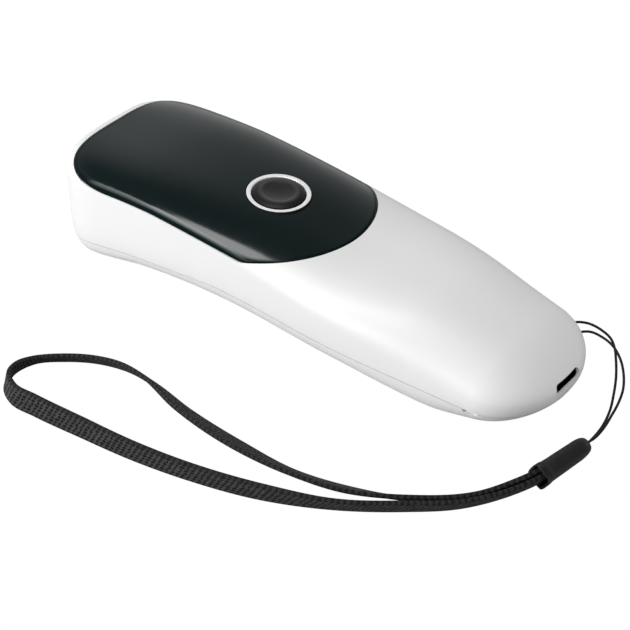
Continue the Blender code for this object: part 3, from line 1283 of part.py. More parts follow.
def engine_bracket(frame):
    """Cradle under and beside the engine, with an ear on each side for its screw."""
    half_x = 0.5 * ENGINE_WIDTH + SEAT_GAP
    low = -ENGINE_CENTRE_DROP - 0.5 * ENGINE_HEIGHT - SEAT_GAP
    top = ear_top()
    front = engine_y(2.0 * BRACKET_WALL)
    back = engine_back_y() + BRACKET_WALL
    wall = BRACKET_WALL
    outline = [
        (-half_x - wall - EAR_LENGTH, top - wall), (-half_x - wall, top - wall), (-half_x - wall, low - wall),
        (half_x + wall, low - wall), (half_x + wall, top - wall), (half_x + wall + EAR_LENGTH, top - wall),
        (half_x + wall + EAR_LENGTH, top), (half_x, top), (half_x, low), (-half_x, low), (-half_x, top),
        (-half_x - wall - EAR_LENGTH, top)]
    turn = Matrix.Rotation(math.radians(90.0), 4, "X")
    bm = bmesh.new()
    add_prism(bm, outline, -back, -front, turn)
    bracket = solid("engine_bracket", bm, steel(), frame)
    bm = bmesh.new()
    for side in (-1.0, 1.0):
        add_cylinder(bm, SMALL_SCREW[0] + RUN_GAP, -BODY_DEPTH, OVERRUN, SCREW_STEPS, (side * ear_x(), EAR_Y))
        for end, reach in ((-1.0, front - EAR_Y), (1.0, back - EAR_Y)):
            length = abs(reach) - 0.5 * EAR_WIDTH + OVERRUN
            centre_y = EAR_Y + end * (0.5 * EAR_WIDTH + 0.5 * length)
            x = side * (half_x + wall + EAR_LENGTH)
            add_block(bm, (2.0 * EAR_LENGTH, length, 4.0 * wall), (x, centre_y, top - 0.5 * wall))
    return cut(bracket, tool("bracket_trim", bm, frame))


def flex_cable(frame):
    """Flat ribbon from the engine's board down and back to its socket on the main board."""
    start_y = engine_back_y() + FLEX_THICKNESS
    start_z = -ENGINE_CENTRE_DROP + 0.35 * ENGINE_HEIGHT
    end_y = FLEX_SOCKET_Y - 0.5 * FLEX_SOCKET_SIZE[1] - SEAT_GAP
    end_z = -BOARD_TOP + SEAT_GAP + 0.5 * FLEX_SOCKET_SIZE[2]
    span = end_y - start_y
    side_view = [(start_y, start_z - 0.25 * ENGINE_HEIGHT), (start_y, start_z)]
    for i in range(1, 8):
        angle = math.pi * i / 8
        centre_y = start_y + 0.22 * span
        side_view.append((centre_y - 0.22 * span * math.cos(angle), start_z + 0.22 * span * math.sin(angle)))
    side_view.append((start_y + 0.44 * span, start_z))
    side_view.append((start_y + 0.55 * span, 0.5 * (start_z + end_z)))
    side_view.append((start_y + 0.72 * span, end_z))
    side_view.append((end_y, end_z))
    bm = bmesh.new()
    rows = []
    for i, (y, z) in enumerate(side_view):
        before = side_view[max(i - 1, 0)]
        after = side_view[min(i + 1, len(side_view) - 1)]
        along = Vector((after[0] - before[0], after[1] - before[1])).normalized()
        normal = Vector((-along.y, along.x)) * 0.5 * FLEX_THICKNESS
        half = 0.5 * FLEX_WIDTH
        rows.append(add_ring(bm, [
            (-half, y - normal.x, z - normal.y), (half, y - normal.x, z - normal.y),
            (half, y + normal.x, z + normal.y), (-half, y + normal.x, z + normal.y)]))
    for row_a, row_b in zip(rows, rows[1:]):
        bridge(bm, row_a, row_b)
    bm.faces.new(rows[0])
    bm.faces.new(rows[-1])
    solid("flex_cable", bm, material("flex_amber", FLEX_AMBER, 0.35), frame)
    place = on_board(FLEX_SOCKET_SIZE, (0.0, FLEX_SOCKET_Y))
    block("flex_socket", FLEX_SOCKET_SIZE, place, material("socket_cream", PALE_PLASTIC, 0.5), frame, CHIP_BEVEL)


# Fasteners

def screw(name, sizes, seat, frame, up=True):
    """A cross-slotted screw whose head sits at the seat and whose shank points up."""
    shank, head, head_height, length = sizes
    profile = (
        (0.0, -head_height), (head, -head_height), (head, 0.0),
        (shank, 0.0), (shank, length - shank), (0.0, length))
    bm = bmesh.new()
    add_lathe(bm, profile, SCREW_STEPS)
    made = solid(name, bm, steel(), frame, seat)
    bm = bmesh.new()
    depth = head_height * SCREW_SLOT_DEPTH_SHARE
    wide = head * SCREW_SLOT_WIDTH_SHARE
    add_block(bm, (2.4 * wide * 2.0, wide, 2.0 * depth), (0.0, 0.0, -head_height))
    return cut(made, tool(name + "_slot", bm, frame, seat))


def screws(frame):
    for label, (x, y) in CASE_SCREW_PLACES.items():
        screw("case_screw_" + label, CASE_SCREW, (x, y, case_screw_seat(x, y) - SEAT_GAP), frame)
    for label, (x, y) in BOARD_SCREW_PLACES.items():
        seat = (x, y, -BOARD_TOP - BOARD_THICKNESS - SEAT_GAP)
        screw("board_screw_" + label, SMALL_SCREW, seat, frame)
    for label, side in (("left", -1.0), ("right", 1.0)):
        seat = (side * ear_x(), EAR_Y, ear_top() - BRACKET_WALL - SEAT_GAP)
        screw("engine_screw_" + label, SMALL_SCREW, seat, frame)


# Strap

def strap_string(loop):
    """Thin cord from the clasp round the bar in the body and back into the clasp."""
    look = material("strap_black", STRAP_BLACK, 0.8)
    return round_cord("strap_string", STRING_ROUTE, STRING_STEP, STRING_RADIUS, look, loop)


def clasp_frame():
    """Axis, width and thickness directions of the clasp and its length."""
    mouth, crown = Vector(CLASP_MOUTH), Vector(CLASP_CROWN)
    axis = (crown - mouth).normalized()
    out = Vector((0.0, 0.0, 1.0)).cross(axis).normalized() * -1.0
    wide = out * math.sin(CLASP_LEAN) + Vector((0.0, 0.0, 1.0)) * math.cos(CLASP_LEAN)
    wide = (wide - axis * wide.dot(axis)).normalized()
    return axis, wide, axis.cross(wide).normalized(), (crown - mouth).length


def clasp_ring(bm, along, half_wide, half_thick, power):
    axis, wide, thick, length = clasp_frame()
    taper = 1.0 - CLASP_TAPER_SHARE * along / length
    points = []
    for i in range(CLASP_SIDES):
        angle = 2.0 * math.pi * (i + 0.5) / CLASP_SIDES
        c, s = math.cos(angle), math.sin(angle)
        a = taper * half_wide * math.copysign(abs(c) ** (2.0 / power), c)
        b = taper * half_thick * math.copysign(abs(s) ** (2.0 / power), s)
        points.append(bm.verts.new(Vector(CLASP_MOUTH) + axis * along + wide * a + thick * b))
    return points


def strap_clasp(loop):
    """Soft sleeve: open at the band's end, rounded where the string goes in."""
    length = clasp_frame()[3]
    half_wide, half_thick = 0.5 * CLASP_WIDTH, 0.5 * CLASP_THICKNESS
    bm = bmesh.new()
    rings = []
    body = length - CLASP_ROUND_LENGTH
    for share in (0.0, 0.33, 0.67, 1.0):
        rings.append(clasp_ring(bm, body * share, half_wide, half_thick, CLASP_ROUND_SHARE))
    for i in range(1, 5):
        angle = 0.5 * math.pi * i / 5
        scale = math.cos(angle)
        along = body + CLASP_ROUND_LENGTH * math.sin(angle)
        wide = half_wide * (0.35 + 0.65 * scale)
        rings.append(clasp_ring(bm, along, wide, half_thick * (0.35 + 0.65 * scale), CLASP_ROUND_SHARE))
    for ring_a, ring_b in zip(rings, rings[1:]):
        bridge(bm, ring_a, ring_b)
    bm.faces.new(rings[0])
    bm.faces.new(rings[-1])
    clasp = solid("strap_clasp", bm, material("clasp_black", STRAP_BLACK, 0.6), loop)
    bm = bmesh.new()
    bore = []
    for along in (-OVERRUN, length * CLASP_BORE_SHARE):
        ring = clasp_ring(bm, along, half_wide - CLASP_WALL, half_thick - CLASP_WALL, CLASP_BORE_ROUND_SHARE)
        bore.append(ring)
    bridge(bm, bore[0], bore[1])
    bm.faces.new(bore[0])
    bm.faces.new(bore[1])
    cut(clasp, tool("clasp_bore", bm, loop))
    bm = bmesh.new()
    axis, _, _, _ = clasp_frame()
    turn = axis.to_track_quat("Z", "Y").to_matrix().to_4x4()
    start = Vector(CLASP_MOUTH) + axis * length * CLASP_BORE_SHARE * 0.9
    reach = length
    profile = ((0.0, 0.0), (CLASP_STRING_HOLE_RADIUS, 0.0), (CLASP_STRING_HOLE_RADIUS, reach), (0.0, reach))
    add_lathe(bm, profile, SMALL_STEPS, start, turn)
    return cut(clasp, tool("clasp_string_hole", bm, loop))


def strap_band(loop):
    """Woven band standing on its edge, swept along its route."""
    rows = smooth_route(BAND_ROUTE, BAND_STEP)
    bm = bmesh.new()
    rings = []
    for i, (x, y, lift, lean) in enumerate(rows):
        before, after = rows[max(i - 1, 0)], rows[min(i + 1, len(rows) - 1)]
        run = Vector((after[0] - before[0], after[1] - before[1], 0.0)).normalized()
        left = Vector((-run.y, run.x, 0.0))
        angle = math.radians(lean)
        up = Vector((0.0, 0.0, 1.0))
        wide = left * math.sin(angle) + up * math.cos(angle)
        thick = left * math.cos(angle) - up * math.sin(angle)
        foot = Vector((x, y, lift + SEAT_GAP + 0.5 * BAND_THICKNESS * abs(math.sin(angle))))
        half = thick * 0.5 * BAND_THICKNESS
        top = wide * BAND_WIDTH
        rings.append(add_ring(bm, [foot - half, foot + half, foot + half + top, foot - half + top]))
    for ring_a, ring_b in zip(rings, rings[1:]):
        bridge(bm, ring_a, ring_b)
    bm.faces.new(rings[0])
    bm.faces.new(rings[-1])
    return solid("strap_band", bm, material("strap_black", STRAP_BLACK, 0.8), loop)


# Assembly

def deck_matrix():
    """The deck frame on the table."""
    turn = Matrix.Rotation(-DECK_TILT, 4, "X")
    return Matrix.Translation((0.0, -DECK_SETBACK, DECK_HEIGHT)) @ turn


def build():
    clear_scene()
    frame = link("deck_frame", None)
    frame.matrix_world = deck_matrix()
    bpy.context.view_layer.update()
    upper_housing(frame)
    lower_cover(frame)
    top_panel(frame)
    trigger_ring(frame)
    trigger_button(frame)
    button_keeper(frame)
    switch_body(frame)
    switch_plunger(frame)
    main_board(frame)
    board_chips(frame)
    buzzer(frame)
    port_shell(frame)
    port_tongue(frame)
    battery(frame)
    battery_leads(frame)
    scan_window(frame)
    window_bezel(frame)
    engine_housing(frame)
    lens_barrel(frame)
    camera_lens(frame)
    engine_lamps(frame)
    engine_board(frame)
    engine_bracket(frame)
    flex_cable(frame)
    screws(frame)
    loop = link("loop_frame", None, location=LOOP_PLACE)
    strap_string(loop)
    strap_clasp(loop)
    strap_band(loop)


build()
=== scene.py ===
"""Looks of the pocket barcode scanner and its wrist strap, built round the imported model.

Metres, +Z up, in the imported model's own frame. The deck frame is that of the top panel: its
origin is the trigger's centre on the crown and its Z axis is square to the deck.
"""
import math

import bmesh
import bpy
import numpy as np
from mathutils import Matrix, Vector
from mathutils.bvhtree import BVHTree
from mathutils.interpolate import poly_3d_calc


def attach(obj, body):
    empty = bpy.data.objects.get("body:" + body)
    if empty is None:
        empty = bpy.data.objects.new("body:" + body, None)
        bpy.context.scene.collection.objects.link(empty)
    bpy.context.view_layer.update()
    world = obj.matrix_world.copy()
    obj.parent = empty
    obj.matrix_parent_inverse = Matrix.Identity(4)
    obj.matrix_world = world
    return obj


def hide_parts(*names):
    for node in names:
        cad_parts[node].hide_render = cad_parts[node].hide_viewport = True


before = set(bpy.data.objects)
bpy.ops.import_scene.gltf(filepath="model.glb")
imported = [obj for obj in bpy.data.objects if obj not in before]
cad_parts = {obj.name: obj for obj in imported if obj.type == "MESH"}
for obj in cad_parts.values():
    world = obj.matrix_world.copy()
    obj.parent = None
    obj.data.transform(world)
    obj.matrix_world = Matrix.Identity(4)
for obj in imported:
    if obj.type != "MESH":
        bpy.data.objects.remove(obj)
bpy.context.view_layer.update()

# -------- sizes
# CLEAR and BELOW carry a cutting tool past the skin; tables run from nose (0) to tail (1).

DECK_TILT = math.radians(3.08)
DECK_SETBACK = 0.01272
NOSE_Y = -0.05375
LENGTH = 0.13385
HALF = 0.02198
DEPTH = 0.0284
GAP = 0.0003
WALL, POST_WALL = 0.0018, 0.0016
CLEAR, BELOW = 0.004, -2.0 * DEPTH
TAIL_Y = NOSE_Y + LENGTH
DECK_HEIGHT = DEPTH * 0.9694
CORNER = 0.01937
NOSE_EDGE = 0.00197
TAIL_ROUND = 0.01326
FACET = 0.0008
WIDEST, UPPER_POWER, LOWER_POWER = (0.766, 0.559), (3.67, 2.38), (5.34, 2.02)
WIDTHS = ((0.0, 0.968), (0.18, 0.968), (0.40, 0.972), (0.63, 1.0), (0.85, 0.878), (1.0, 0.807))
CROWN = ((0.0, 0.118), (0.03, 0.098), (0.21, 0.016), (0.40, 0.0), (0.59, 0.047), (0.78, 0.045), (1.0, 0.221))
BELLY = ((0.0, 1.062), (0.07, 1.062), (0.25, 0.857), (0.44, 0.767), (0.63, 0.786), (0.79, 0.882), (0.84, 0.875),
         (1.0, 0.662))
PARTING = ((0.0, 0.90), (0.065, 0.850), (0.18, 0.722), (0.29, 0.634), (0.40, 0.546), (0.55, 0.511), (1.0, 0.504))
PANEL_HALF = HALF - 0.00081
PANEL_FRONT = NOSE_Y + 0.00346
PANEL_REAR = 0.02243
PANEL_FRONT_ROUND, PANEL_REAR_ROUND = 0.0175, 0.0172
PANEL_THICK, PANEL_ROUND, PANEL_STEP = 0.0018, 0.0003, 0.0014
RING_OUT, RING_IN, RING_TOP = 0.0075, 0.00636, 0.0002
FLANGE, FLANGE_THICK, TRAVEL, DECK_BORE = 0.0074, 0.0006, 0.0006, 0.0066
BOARD_TOP, BOARD_THICK = DEPTH * 0.449, 0.0012
SWITCH_TOP = -BOARD_TOP + GAP + 0.0025 + 0.0009
CASE_SCREWS = ((-HALF + 0.00678, -0.0256), (HALF - 0.00678, -0.0256), (-HALF * 0.564, TAIL_Y - 0.0176),
               (HALF * 0.564, TAIL_Y - 0.0176))
BOARD_SCREWS = ((-HALF + 0.00918, -0.0170), (HALF - 0.00918, -0.0170), (0.0, TAIL_Y - 0.0161))
WINDOW_DROP = DEPTH * 0.542
CASE_SCREW, CASE_SCREW_HEAD, CASE_SCREW_LONG = 0.00085, 0.0019, 0.0090
SMALL_SCREW, SMALL_SCREW_LONG, SMALL_HOLE = 0.0006, 0.0034, 0.0009
ENGINE_WIDTH = HALF * 0.955
ENGINE_TOP = -DEPTH * 0.546 + 0.5 * DEPTH * 0.493
EAR_THICK = 0.0011
EAR_X = 0.5 * ENGINE_WIDTH + GAP + EAR_THICK + 0.0023
EAR_Y = NOSE_Y + 0.00975 + 0.0045
PORT_WIDE, PORT_HIGH, PORT_LIP = 0.00894, 0.00326, 0.0004
PORT_DROP = BOARD_TOP - 0.5 * PORT_HIGH - 0.00032
UNDERCUT = 0.091
BATTERY_TOP = BOARD_TOP + BOARD_THICK + 0.00055
BATTERY_LONG = TAIL_Y - 0.0241 - 0.006
BATTERY_DEEP = DEPTH * 0.767 - WALL - 0.00098 - BATTERY_TOP
LOOP_Y = 0.0003
STRAP_SHIFT = Vector((0.0, LOOP_Y, 0.0))
STRAP_LEAN, STRAP_HOLE = math.radians(29.0), 0.0009
DECK = Matrix.Translation((0.0, -DECK_SETBACK, DECK_HEIGHT)) @ Matrix.Rotation(-DECK_TILT, 4, "X")

# -------- camera

def posed(right, up, back, place):
    """World matrix from three axes and a place."""
    return Matrix([(right[i], up[i], back[i], place[i]) for i in range(3)] + [(0.0, 0.0, 0.0, 1.0)])


camera = bpy.data.objects.new("camera", bpy.data.cameras.new("camera"))
bpy.context.scene.collection.objects.link(camera)
camera.data.sensor_fit = "HORIZONTAL"
camera.data.sensor_width = 36.0
camera.data.lens = 102.857
camera.data.clip_start, camera.data.clip_end = 0.01, 50.0
camera.matrix_world = posed((-0.6084, 0.7934, 0.0183), (-0.4764, -0.3836, 0.7912), (0.6347, 0.4727, 0.6113),
                            (0.2690, 0.19870, 0.25691))
bpy.context.scene.camera = camera
bpy.context.scene.view_settings.view_transform = "Standard"

# -------- materials

looks = {}


class Graph:
    """Short calls for the nodes of a material or of the world."""

    def __init__(self, tree):
        self.tree = tree

    def feed(self, target, value):
        if isinstance(value, bpy.types.NodeSocket):
            self.tree.links.new(value, target)
        else:
            target.default_value = value

    def fill(self, node, **values):
        """Sets or joins a node's inputs by name, with an underscore for each space."""
        for key, value in values.items():
            self.feed(node.inputs[key.replace("_", " ")], value)

    def add(self, kind, settings=None, **inputs):
        node = self.tree.nodes.new(kind)
        for key, value in (settings or {}).items():
            setattr(node, key, value)
        self.fill(node, **inputs)
        return node

    def maths(self, operation, *values):
        node = self.add("ShaderNodeMath", dict(operation=operation))
        for target, value in zip(node.inputs, values):
            self.feed(target, value)
        return node.outputs[0]

    def times(self, a, b):
        return self.maths("MULTIPLY", a, b)

    def ranged(self, source, low, high, start=0.3, end=0.7, curve="LINEAR"):
        return self.add("ShaderNodeMapRange", dict(interpolation_type=curve), Value=source, From_Min=start,
                        From_Max=end, To_Min=low, To_Max=high).outputs["Result"]

    def either(self, choice, low, high):
        node = self.add("ShaderNodeMixShader")
        for target, value in zip(node.inputs, (choice, low, high)):
            self.feed(target, value)
        return node.outputs[0]


class Look(Graph):
    """One material, with its shader and the object's coordinates."""

    def __init__(self, name, shown=(0.8, 0.8, 0.8)):
        looks[name] = material = bpy.data.materials.new(name)
        material.use_nodes = True
        material.diffuse_color = (*shown, 1.0)
        super().__init__(material.node_tree)
        self.shader = self.tree.nodes["Principled BSDF"]
        self.place = self.add("ShaderNodeTexCoord").outputs["Object"]

    def set(self, **values):
        self.fill(self.shader, **values)

    def noise(self, scale, detail=3.0, rough=0.5, stretch=None):
        start = self.place
        if stretch:
            start = self.add("ShaderNodeMapping", Scale=stretch, Vector=start).outputs["Vector"]
        return self.add("ShaderNodeTexNoise", Scale=scale, Detail=detail, Roughness=rough, Vector=start).outputs["Fac"]

    def mixed(self, factor, low, high):
        node = self.add("ShaderNodeMix", dict(data_type="RGBA"))
        for slot, value in ((0, factor), (6, low), (7, high)):
            self.feed(node.inputs[slot], (*value, 1.0) if isinstance(value, tuple) else value)
        return node.outputs[2]

    def overlay(self, share, tone):
        """Lays a second tone over the base colour."""
        base = self.shader.inputs["Base Color"].links[0].from_socket
        self.set(Base_Color=self.mixed(share, base, tone))

    def bump(self, height, distance, strength=1.0, under=None):
        node = self.add("ShaderNodeBump", Strength=strength, Distance=distance, Height=height)
        if under is not None:
            self.fill(node, Normal=under)
        return node.outputs["Normal"]


def finish(name, low, high, roughness, metallic=0.0, grain=900.0, spread=60.0, rough_spread=0.05, height=1e-5,
           specular=0.5, coat=0.0, stretch=None, transmission=0.0):
    """Moulded or machined finish: colour drifts between two tones, with a fine grain in gloss and relief."""
    n = Look(name, high)
    tone = n.ranged(n.noise(spread, 4.0, 0.55, stretch), 0.0, 1.0)
    fine = n.noise(grain, 2.0, 0.5, stretch)
    n.set(Base_Color=n.mixed(tone, low, high), Normal=n.bump(fine, height), Metallic=metallic,
          Roughness=n.ranged(fine, roughness - rough_spread, roughness + rough_spread), Specular_IOR_Level=specular,
          Coat_Weight=coat, Coat_Roughness=0.06, Transmission_Weight=transmission)
    return n


def make_looks():
    finish("white_shell", (0.770, 0.770, 0.770), (0.795, 0.795, 0.795), 0.42, grain=2600.0, spread=35.0, height=6e-6)
    n = finish("panel_black", (0.0010, 0.0068, 0.0071), (0.0020, 0.0084, 0.0087), 0.15, rough_spread=0.012,
               grain=500.0, height=6e-7)
    edge = n.add("ShaderNodeAttribute", dict(attribute_name="edge")).outputs["Fac"]
    n.set(Specular_IOR_Level=n.ranged(edge, 0.5, 0.06, 0.0, 1.0))
    ring_look()
    cap_look()
    finish("satin_black", (0.018, 0.018, 0.019), (0.030, 0.030, 0.031), 0.46, grain=2500.0, height=1.2e-5)
    finish("bezel_black", (0.010, 0.0105, 0.011), (0.016, 0.0165, 0.017), 0.16, grain=1500.0, height=2e-6, coat=0.3)
    finish("steel", (0.52, 0.53, 0.545), (0.68, 0.69, 0.70), 0.27, metallic=1.0, grain=5000.0, spread=400.0,
           height=4e-6)
    # painted shade: the port's steel is coloured near black for the shade inside the slot
    finish("port_steel_painted_shade", (0.016, 0.016, 0.016), (0.026, 0.026, 0.026), 0.24, metallic=1.0, grain=3000.0, spread=700.0,
           height=4e-6, stretch=(1.0, 0.08, 1.0))
    finish("bracket_steel", (0.48, 0.49, 0.50), (0.64, 0.65, 0.66), 0.34, metallic=1.0, grain=1600.0, spread=240.0,
           height=6e-6, stretch=(1.0, 0.05, 1.0))
    finish("shield_tin", (0.60, 0.61, 0.60), (0.76, 0.77, 0.75), 0.38, metallic=1.0, grain=2200.0, spread=180.0,
           height=6e-6)
    finish("window_smoke", (0.040, 0.008, 0.009), (0.058, 0.012, 0.012), 0.045, rough_spread=0.01, grain=300.0,
           height=0.0, coat=0.5)
    finish("clear_glass", (0.80, 0.84, 0.90), (0.88, 0.91, 0.95), 0.03, rough_spread=0.01, grain=300.0, height=0.0,
           transmission=0.75)
    finish("lamp_clear", (0.84, 0.84, 0.78), (0.94, 0.93, 0.86), 0.10, rough_spread=0.03, grain=600.0, height=2e-6,
           transmission=0.35)
    finish("aimer_red", (0.42, 0.015, 0.012), (0.62, 0.03, 0.02), 0.12, rough_spread=0.03, grain=600.0, height=2e-6)
    finish("cream", (0.72, 0.70, 0.63), (0.81, 0.79, 0.73), 0.46, grain=2500.0, height=8e-6)
    finish("battery_wrap", (0.46, 0.48, 0.51), (0.62, 0.64, 0.67), 0.30, metallic=0.75, grain=260.0, spread=120.0,
           rough_spread=0.08, height=6e-5)
    finish("guard_amber", (0.44, 0.19, 0.035), (0.58, 0.28, 0.06), 0.34, grain=1400.0, spread=220.0)
    finish("lead_red", (0.46, 0.022, 0.016), (0.62, 0.035, 0.025), 0.42, grain=1800.0)
    finish("lead_black", (0.014, 0.014, 0.015), (0.028, 0.028, 0.029), 0.42, grain=1800.0)
    finish("clasp_black", (0.010, 0.010, 0.0105), (0.015, 0.015, 0.0155), 0.50, grain=2600.0, spread=300.0,
           height=2e-5, specular=0.28)
    n = finish("led_lens", (0.78, 0.80, 0.74), (0.93, 0.94, 0.88), 0.18, grain=800.0, height=4e-6)
    n.set(Subsurface_Weight=0.1)
    board_look()
    flex_look()
    finish("chip_black", (0.014, 0.014, 0.015), (0.030, 0.030, 0.032), 0.52, grain=6000.0, spread=1200.0)
    band_look()
    string_look()


def trigger_radius(n):
    """Distance from the trigger's axis."""
    x, y = n.add("ShaderNodeSeparateXYZ", Vector=n.place).outputs[:2]
    y = n.maths("ADD", y, DECK_SETBACK)
    return n.maths("SQRT", n.maths("ADD", n.times(x, x), n.times(y, y)))


def ring_look():
    """Bright turned face, with painted shade on the outer wall."""
    n = finish("ring_metal", (0.84, 0.84, 0.845), (0.99, 0.99, 0.99), 0.34, metallic=0.15, grain=3000.0,
               spread=1700.0, height=4e-6)
    # painted shade: the outer wall and the edge of its rounding are coloured near black
    n.overlay(n.ranged(trigger_radius(n), 0.0, 1.0, 0.00738, 0.00746), (0.02, 0.02, 0.02))


def cap_look():
    """Satin black with a painted highlight on the turned land round the dish."""
    n = finish("cap_black", (0.012, 0.012, 0.0125), (0.017, 0.017, 0.0175), 0.36, grain=4000.0, height=4e-6,
               specular=0.4)
    radius = trigger_radius(n)
    # painted highlight: the land round the dish is coloured paler
    land = n.times(n.ranged(radius, 0.0, 1.0, 0.0037, 0.0041), n.ranged(radius, 1.0, 0.0, 0.0045, 0.0049))
    n.overlay(n.times(land, 0.6), (0.045, 0.045, 0.045))
    n.set(Specular_IOR_Level=n.ranged(radius, 0.40, 0.10, 0.0046, 0.0052))


def board_look():
    """Solder mask over straight copper tracks, with bare pads."""
    low, high = (0.010, 0.075, 0.030), (0.020, 0.125, 0.050)
    n = Look("board_green", high)
    track = n.add("ShaderNodeTexBrick", dict(offset=0.35, squash=1.0), Scale=420.0, Mortar_Size=0.055, Brick_Width=1.7,
                  Row_Height=0.42, Vector=n.place).outputs["Fac"]
    cells = n.add("ShaderNodeTexVoronoi", dict(feature="F1"), Scale=520.0, Vector=n.place).outputs["Distance"]
    pad = n.maths("LESS_THAN", cells, 0.16)
    mask = n.mixed(n.ranged(n.noise(700.0), 0.0, 1.0), low, high)
    tracked = n.mixed(track, mask, (high[0] * 1.7, high[1] * 1.6, high[2] * 1.5))
    n.set(Base_Color=n.mixed(pad, tracked, (0.62, 0.55, 0.34)), Roughness=n.maths("MULTIPLY_ADD", pad, -0.12, 0.42),
          Normal=n.bump(n.maths("ADD", track, pad), 3e-5))


def flex_look():
    """Amber film with parallel conductors showing through."""
    n = Look("flex_amber")
    wave = n.add("ShaderNodeTexWave", dict(wave_type="BANDS", bands_direction="X"), Scale=320.0,
                 Vector=n.place).outputs["Fac"]
    n.set(Base_Color=n.mixed(n.ranged(wave, 0.0, 1.0, 0.45, 0.6), (0.36, 0.13, 0.02), (0.62, 0.33, 0.09)),
          Roughness=n.ranged(n.noise(900.0), 0.26, 0.36), Normal=n.bump(wave, 2e-5))


def band_look():
    """Woven ribbon: slanting ribs broken by rows of small open squares, and two plain selvedges."""
    n = Look("band_weave", (0.03, 0.03, 0.03))
    uv = n.add("ShaderNodeUVMap", dict(uv_map="weave")).outputs["UV"]
    along, across = n.add("ShaderNodeSeparateXYZ", Vector=uv).outputs[:2]
    wobble = n.ranged(n.noise(1300.0, 2.0), -0.22, 0.22)
    rib = n.times(n.maths("PINGPONG", n.maths("ADD", along, wobble), 0.5), 2.0)
    row = n.times(n.maths("PINGPONG", across, 0.5), 2.0)
    field = n.times(n.ranged(across, 0.0, 1.0, 0.35, 0.5), n.ranged(across, 1.0, 0.0, 5.5, 5.75))
    hole = n.times(n.times(n.ranged(rib, 0.0, 1.0, 0.36, 0.60), n.ranged(row, 0.0, 1.0, 0.30, 0.58)), field)
    fibre = n.noise(5200.0, 3.0, 0.6)
    patch = n.noise(420.0, 3.0, 0.55)
    thread_with_shade = n.mixed(n.ranged(fibre, 0.0, 1.0), (0.036, 0.036, 0.037), (0.090, 0.090, 0.092))
    thread_with_shade = n.mixed(n.times(n.ranged(patch, 0.0, 1.0), 0.45), thread_with_shade, (0.020, 0.020, 0.021))
    # painted shade: darker in the grooves between the ribs
    thread_with_shade = n.mixed(n.times(n.ranged(rib, 0.0, 1.0, 0.25, 0.6), 0.55), thread_with_shade, (0.014, 0.014, 0.015))
    # selvedges: painted shade, darker in the grooves at the rib pitch and lighter on the ridges
    thread_with_shade = n.mixed(field, n.mixed(rib, (0.032, 0.032, 0.033), (0.005, 0.005, 0.0055)), thread_with_shade)
    relief = n.maths("SUBTRACT", n.times(n.maths("SUBTRACT", 1.0, rib), 0.45), hole)
    # painted shade: the open squares are coloured near black
    n.set(Base_Color=n.mixed(hole, thread_with_shade, (0.0015, 0.0015, 0.0017)), Roughness=n.ranged(fibre, 0.62, 0.80),
          Normal=n.bump(fibre, 3e-5, 0.7, n.bump(relief, 1e-4, 0.6)), Sheen_Weight=0.02, Sheen_Roughness=0.45,
          Specular_IOR_Level=0.10)


def string_look():
    """Braided thin cord."""
    n = Look("string_braid", (0.03, 0.03, 0.03))
    twist = n.noise(2600.0, 2.0)
    n.set(Base_Color=n.mixed(n.ranged(twist, 0.0, 1.0), (0.005, 0.005, 0.0055), (0.018, 0.018, 0.019)),
          Roughness=n.ranged(twist, 0.45, 0.65), Specular_IOR_Level=0.2, Normal=n.bump(twist, 6e-5))


make_looks()

# -------- mesh helpers

def link(name, mesh, look=None):
    obj = bpy.data.objects.new(name, mesh)
    bpy.context.scene.collection.objects.link(obj)
    if look:
        mesh.materials.append(looks[look])
    return obj


def from_bm(name, bm, look=None, deck=True):
    """A bmesh as an object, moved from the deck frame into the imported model's frame."""
    bmesh.ops.recalc_face_normals(bm, faces=bm.faces)
    if deck:
        bm.transform(DECK)
    mesh = bpy.data.meshes.new(name)
    bm.to_mesh(mesh)
    bm.free()
    mesh.shade_smooth()
    return link(name, mesh, look)


def ring(bm, points):
    return [bm.verts.new(p) for p in points]


def bridge(bm, a, b):
    count = len(a)
    for i in range(count):
        j = (i + 1) % count
        bm.faces.new((a[i], a[j], b[j], b[i]))


def skin(bm, loops, closed=False):
    """Quads from each loop of points to the next; closed joins the last to the first."""
    made = [ring(bm, loop) for loop in loops]
    for a, b in zip(made, made[1:] + made[:int(closed)]):
        bridge(bm, a, b)
    return made


def fan(bm, loop, point):
    apex = bm.verts.new(point)
    for i in range(len(loop)):
        bm.faces.new((loop[i], loop[(i + 1) % len(loop)], apex))


def turned(profile, steps, matrix=Matrix.Identity(4)):
    """Loops of a profile turned about local Z."""
    return [[matrix @ Vector((radius * math.cos(a), radius * math.sin(a), height))
             for a in np.linspace(0.0, 2.0 * math.pi, steps, endpoint=False)] for radius, height in profile]


def lathe(bm, profile, steps, matrix=Matrix.Identity(4)):
    """A body of revolution about local Z; the profile starts and ends on the axis."""
    made = skin(bm, turned(profile[1:-1], steps, matrix))
    fan(bm, made[0], matrix @ Vector((0.0, 0.0, profile[0][1])))
    fan(bm, made[-1], matrix @ Vector((0.0, 0.0, profile[-1][1])))


def pin(bm, radius, low, high, steps, x=0.0, y=0.0):
    lathe(bm, ((0.0, low), (radius, low), (radius, high), (0.0, high)), steps, Matrix.Translation((x, y, 0.0)))


def prism(bm, outline, low, high, matrix):
    base, top = skin(bm, [[matrix @ Vector((x, y, z)) for x, y in outline] for z in (low, high)])
    bm.faces.new(list(reversed(base)))
    bm.faces.new(top)


def block(bm, size, centre):
    for vert in bmesh.ops.create_cube(bm, size=1.0)["verts"]:
        vert.co = Vector(vert.co[k] * size[k] + centre[k] for k in range(3))


def rounded(half_x, half_y, corner, steps=12):
    points = []
    for quarter, (sx, sy) in enumerate(((1.0, 1.0), (-1.0, 1.0), (-1.0, -1.0), (1.0, -1.0))):
        x, y = sx * (half_x - corner), sy * (half_y - corner)
        for i in range(steps + 1):
            a = (quarter + i / steps) * math.pi / 2.0
            points.append((x + corner * math.cos(a), y + corner * math.sin(a)))
    return points


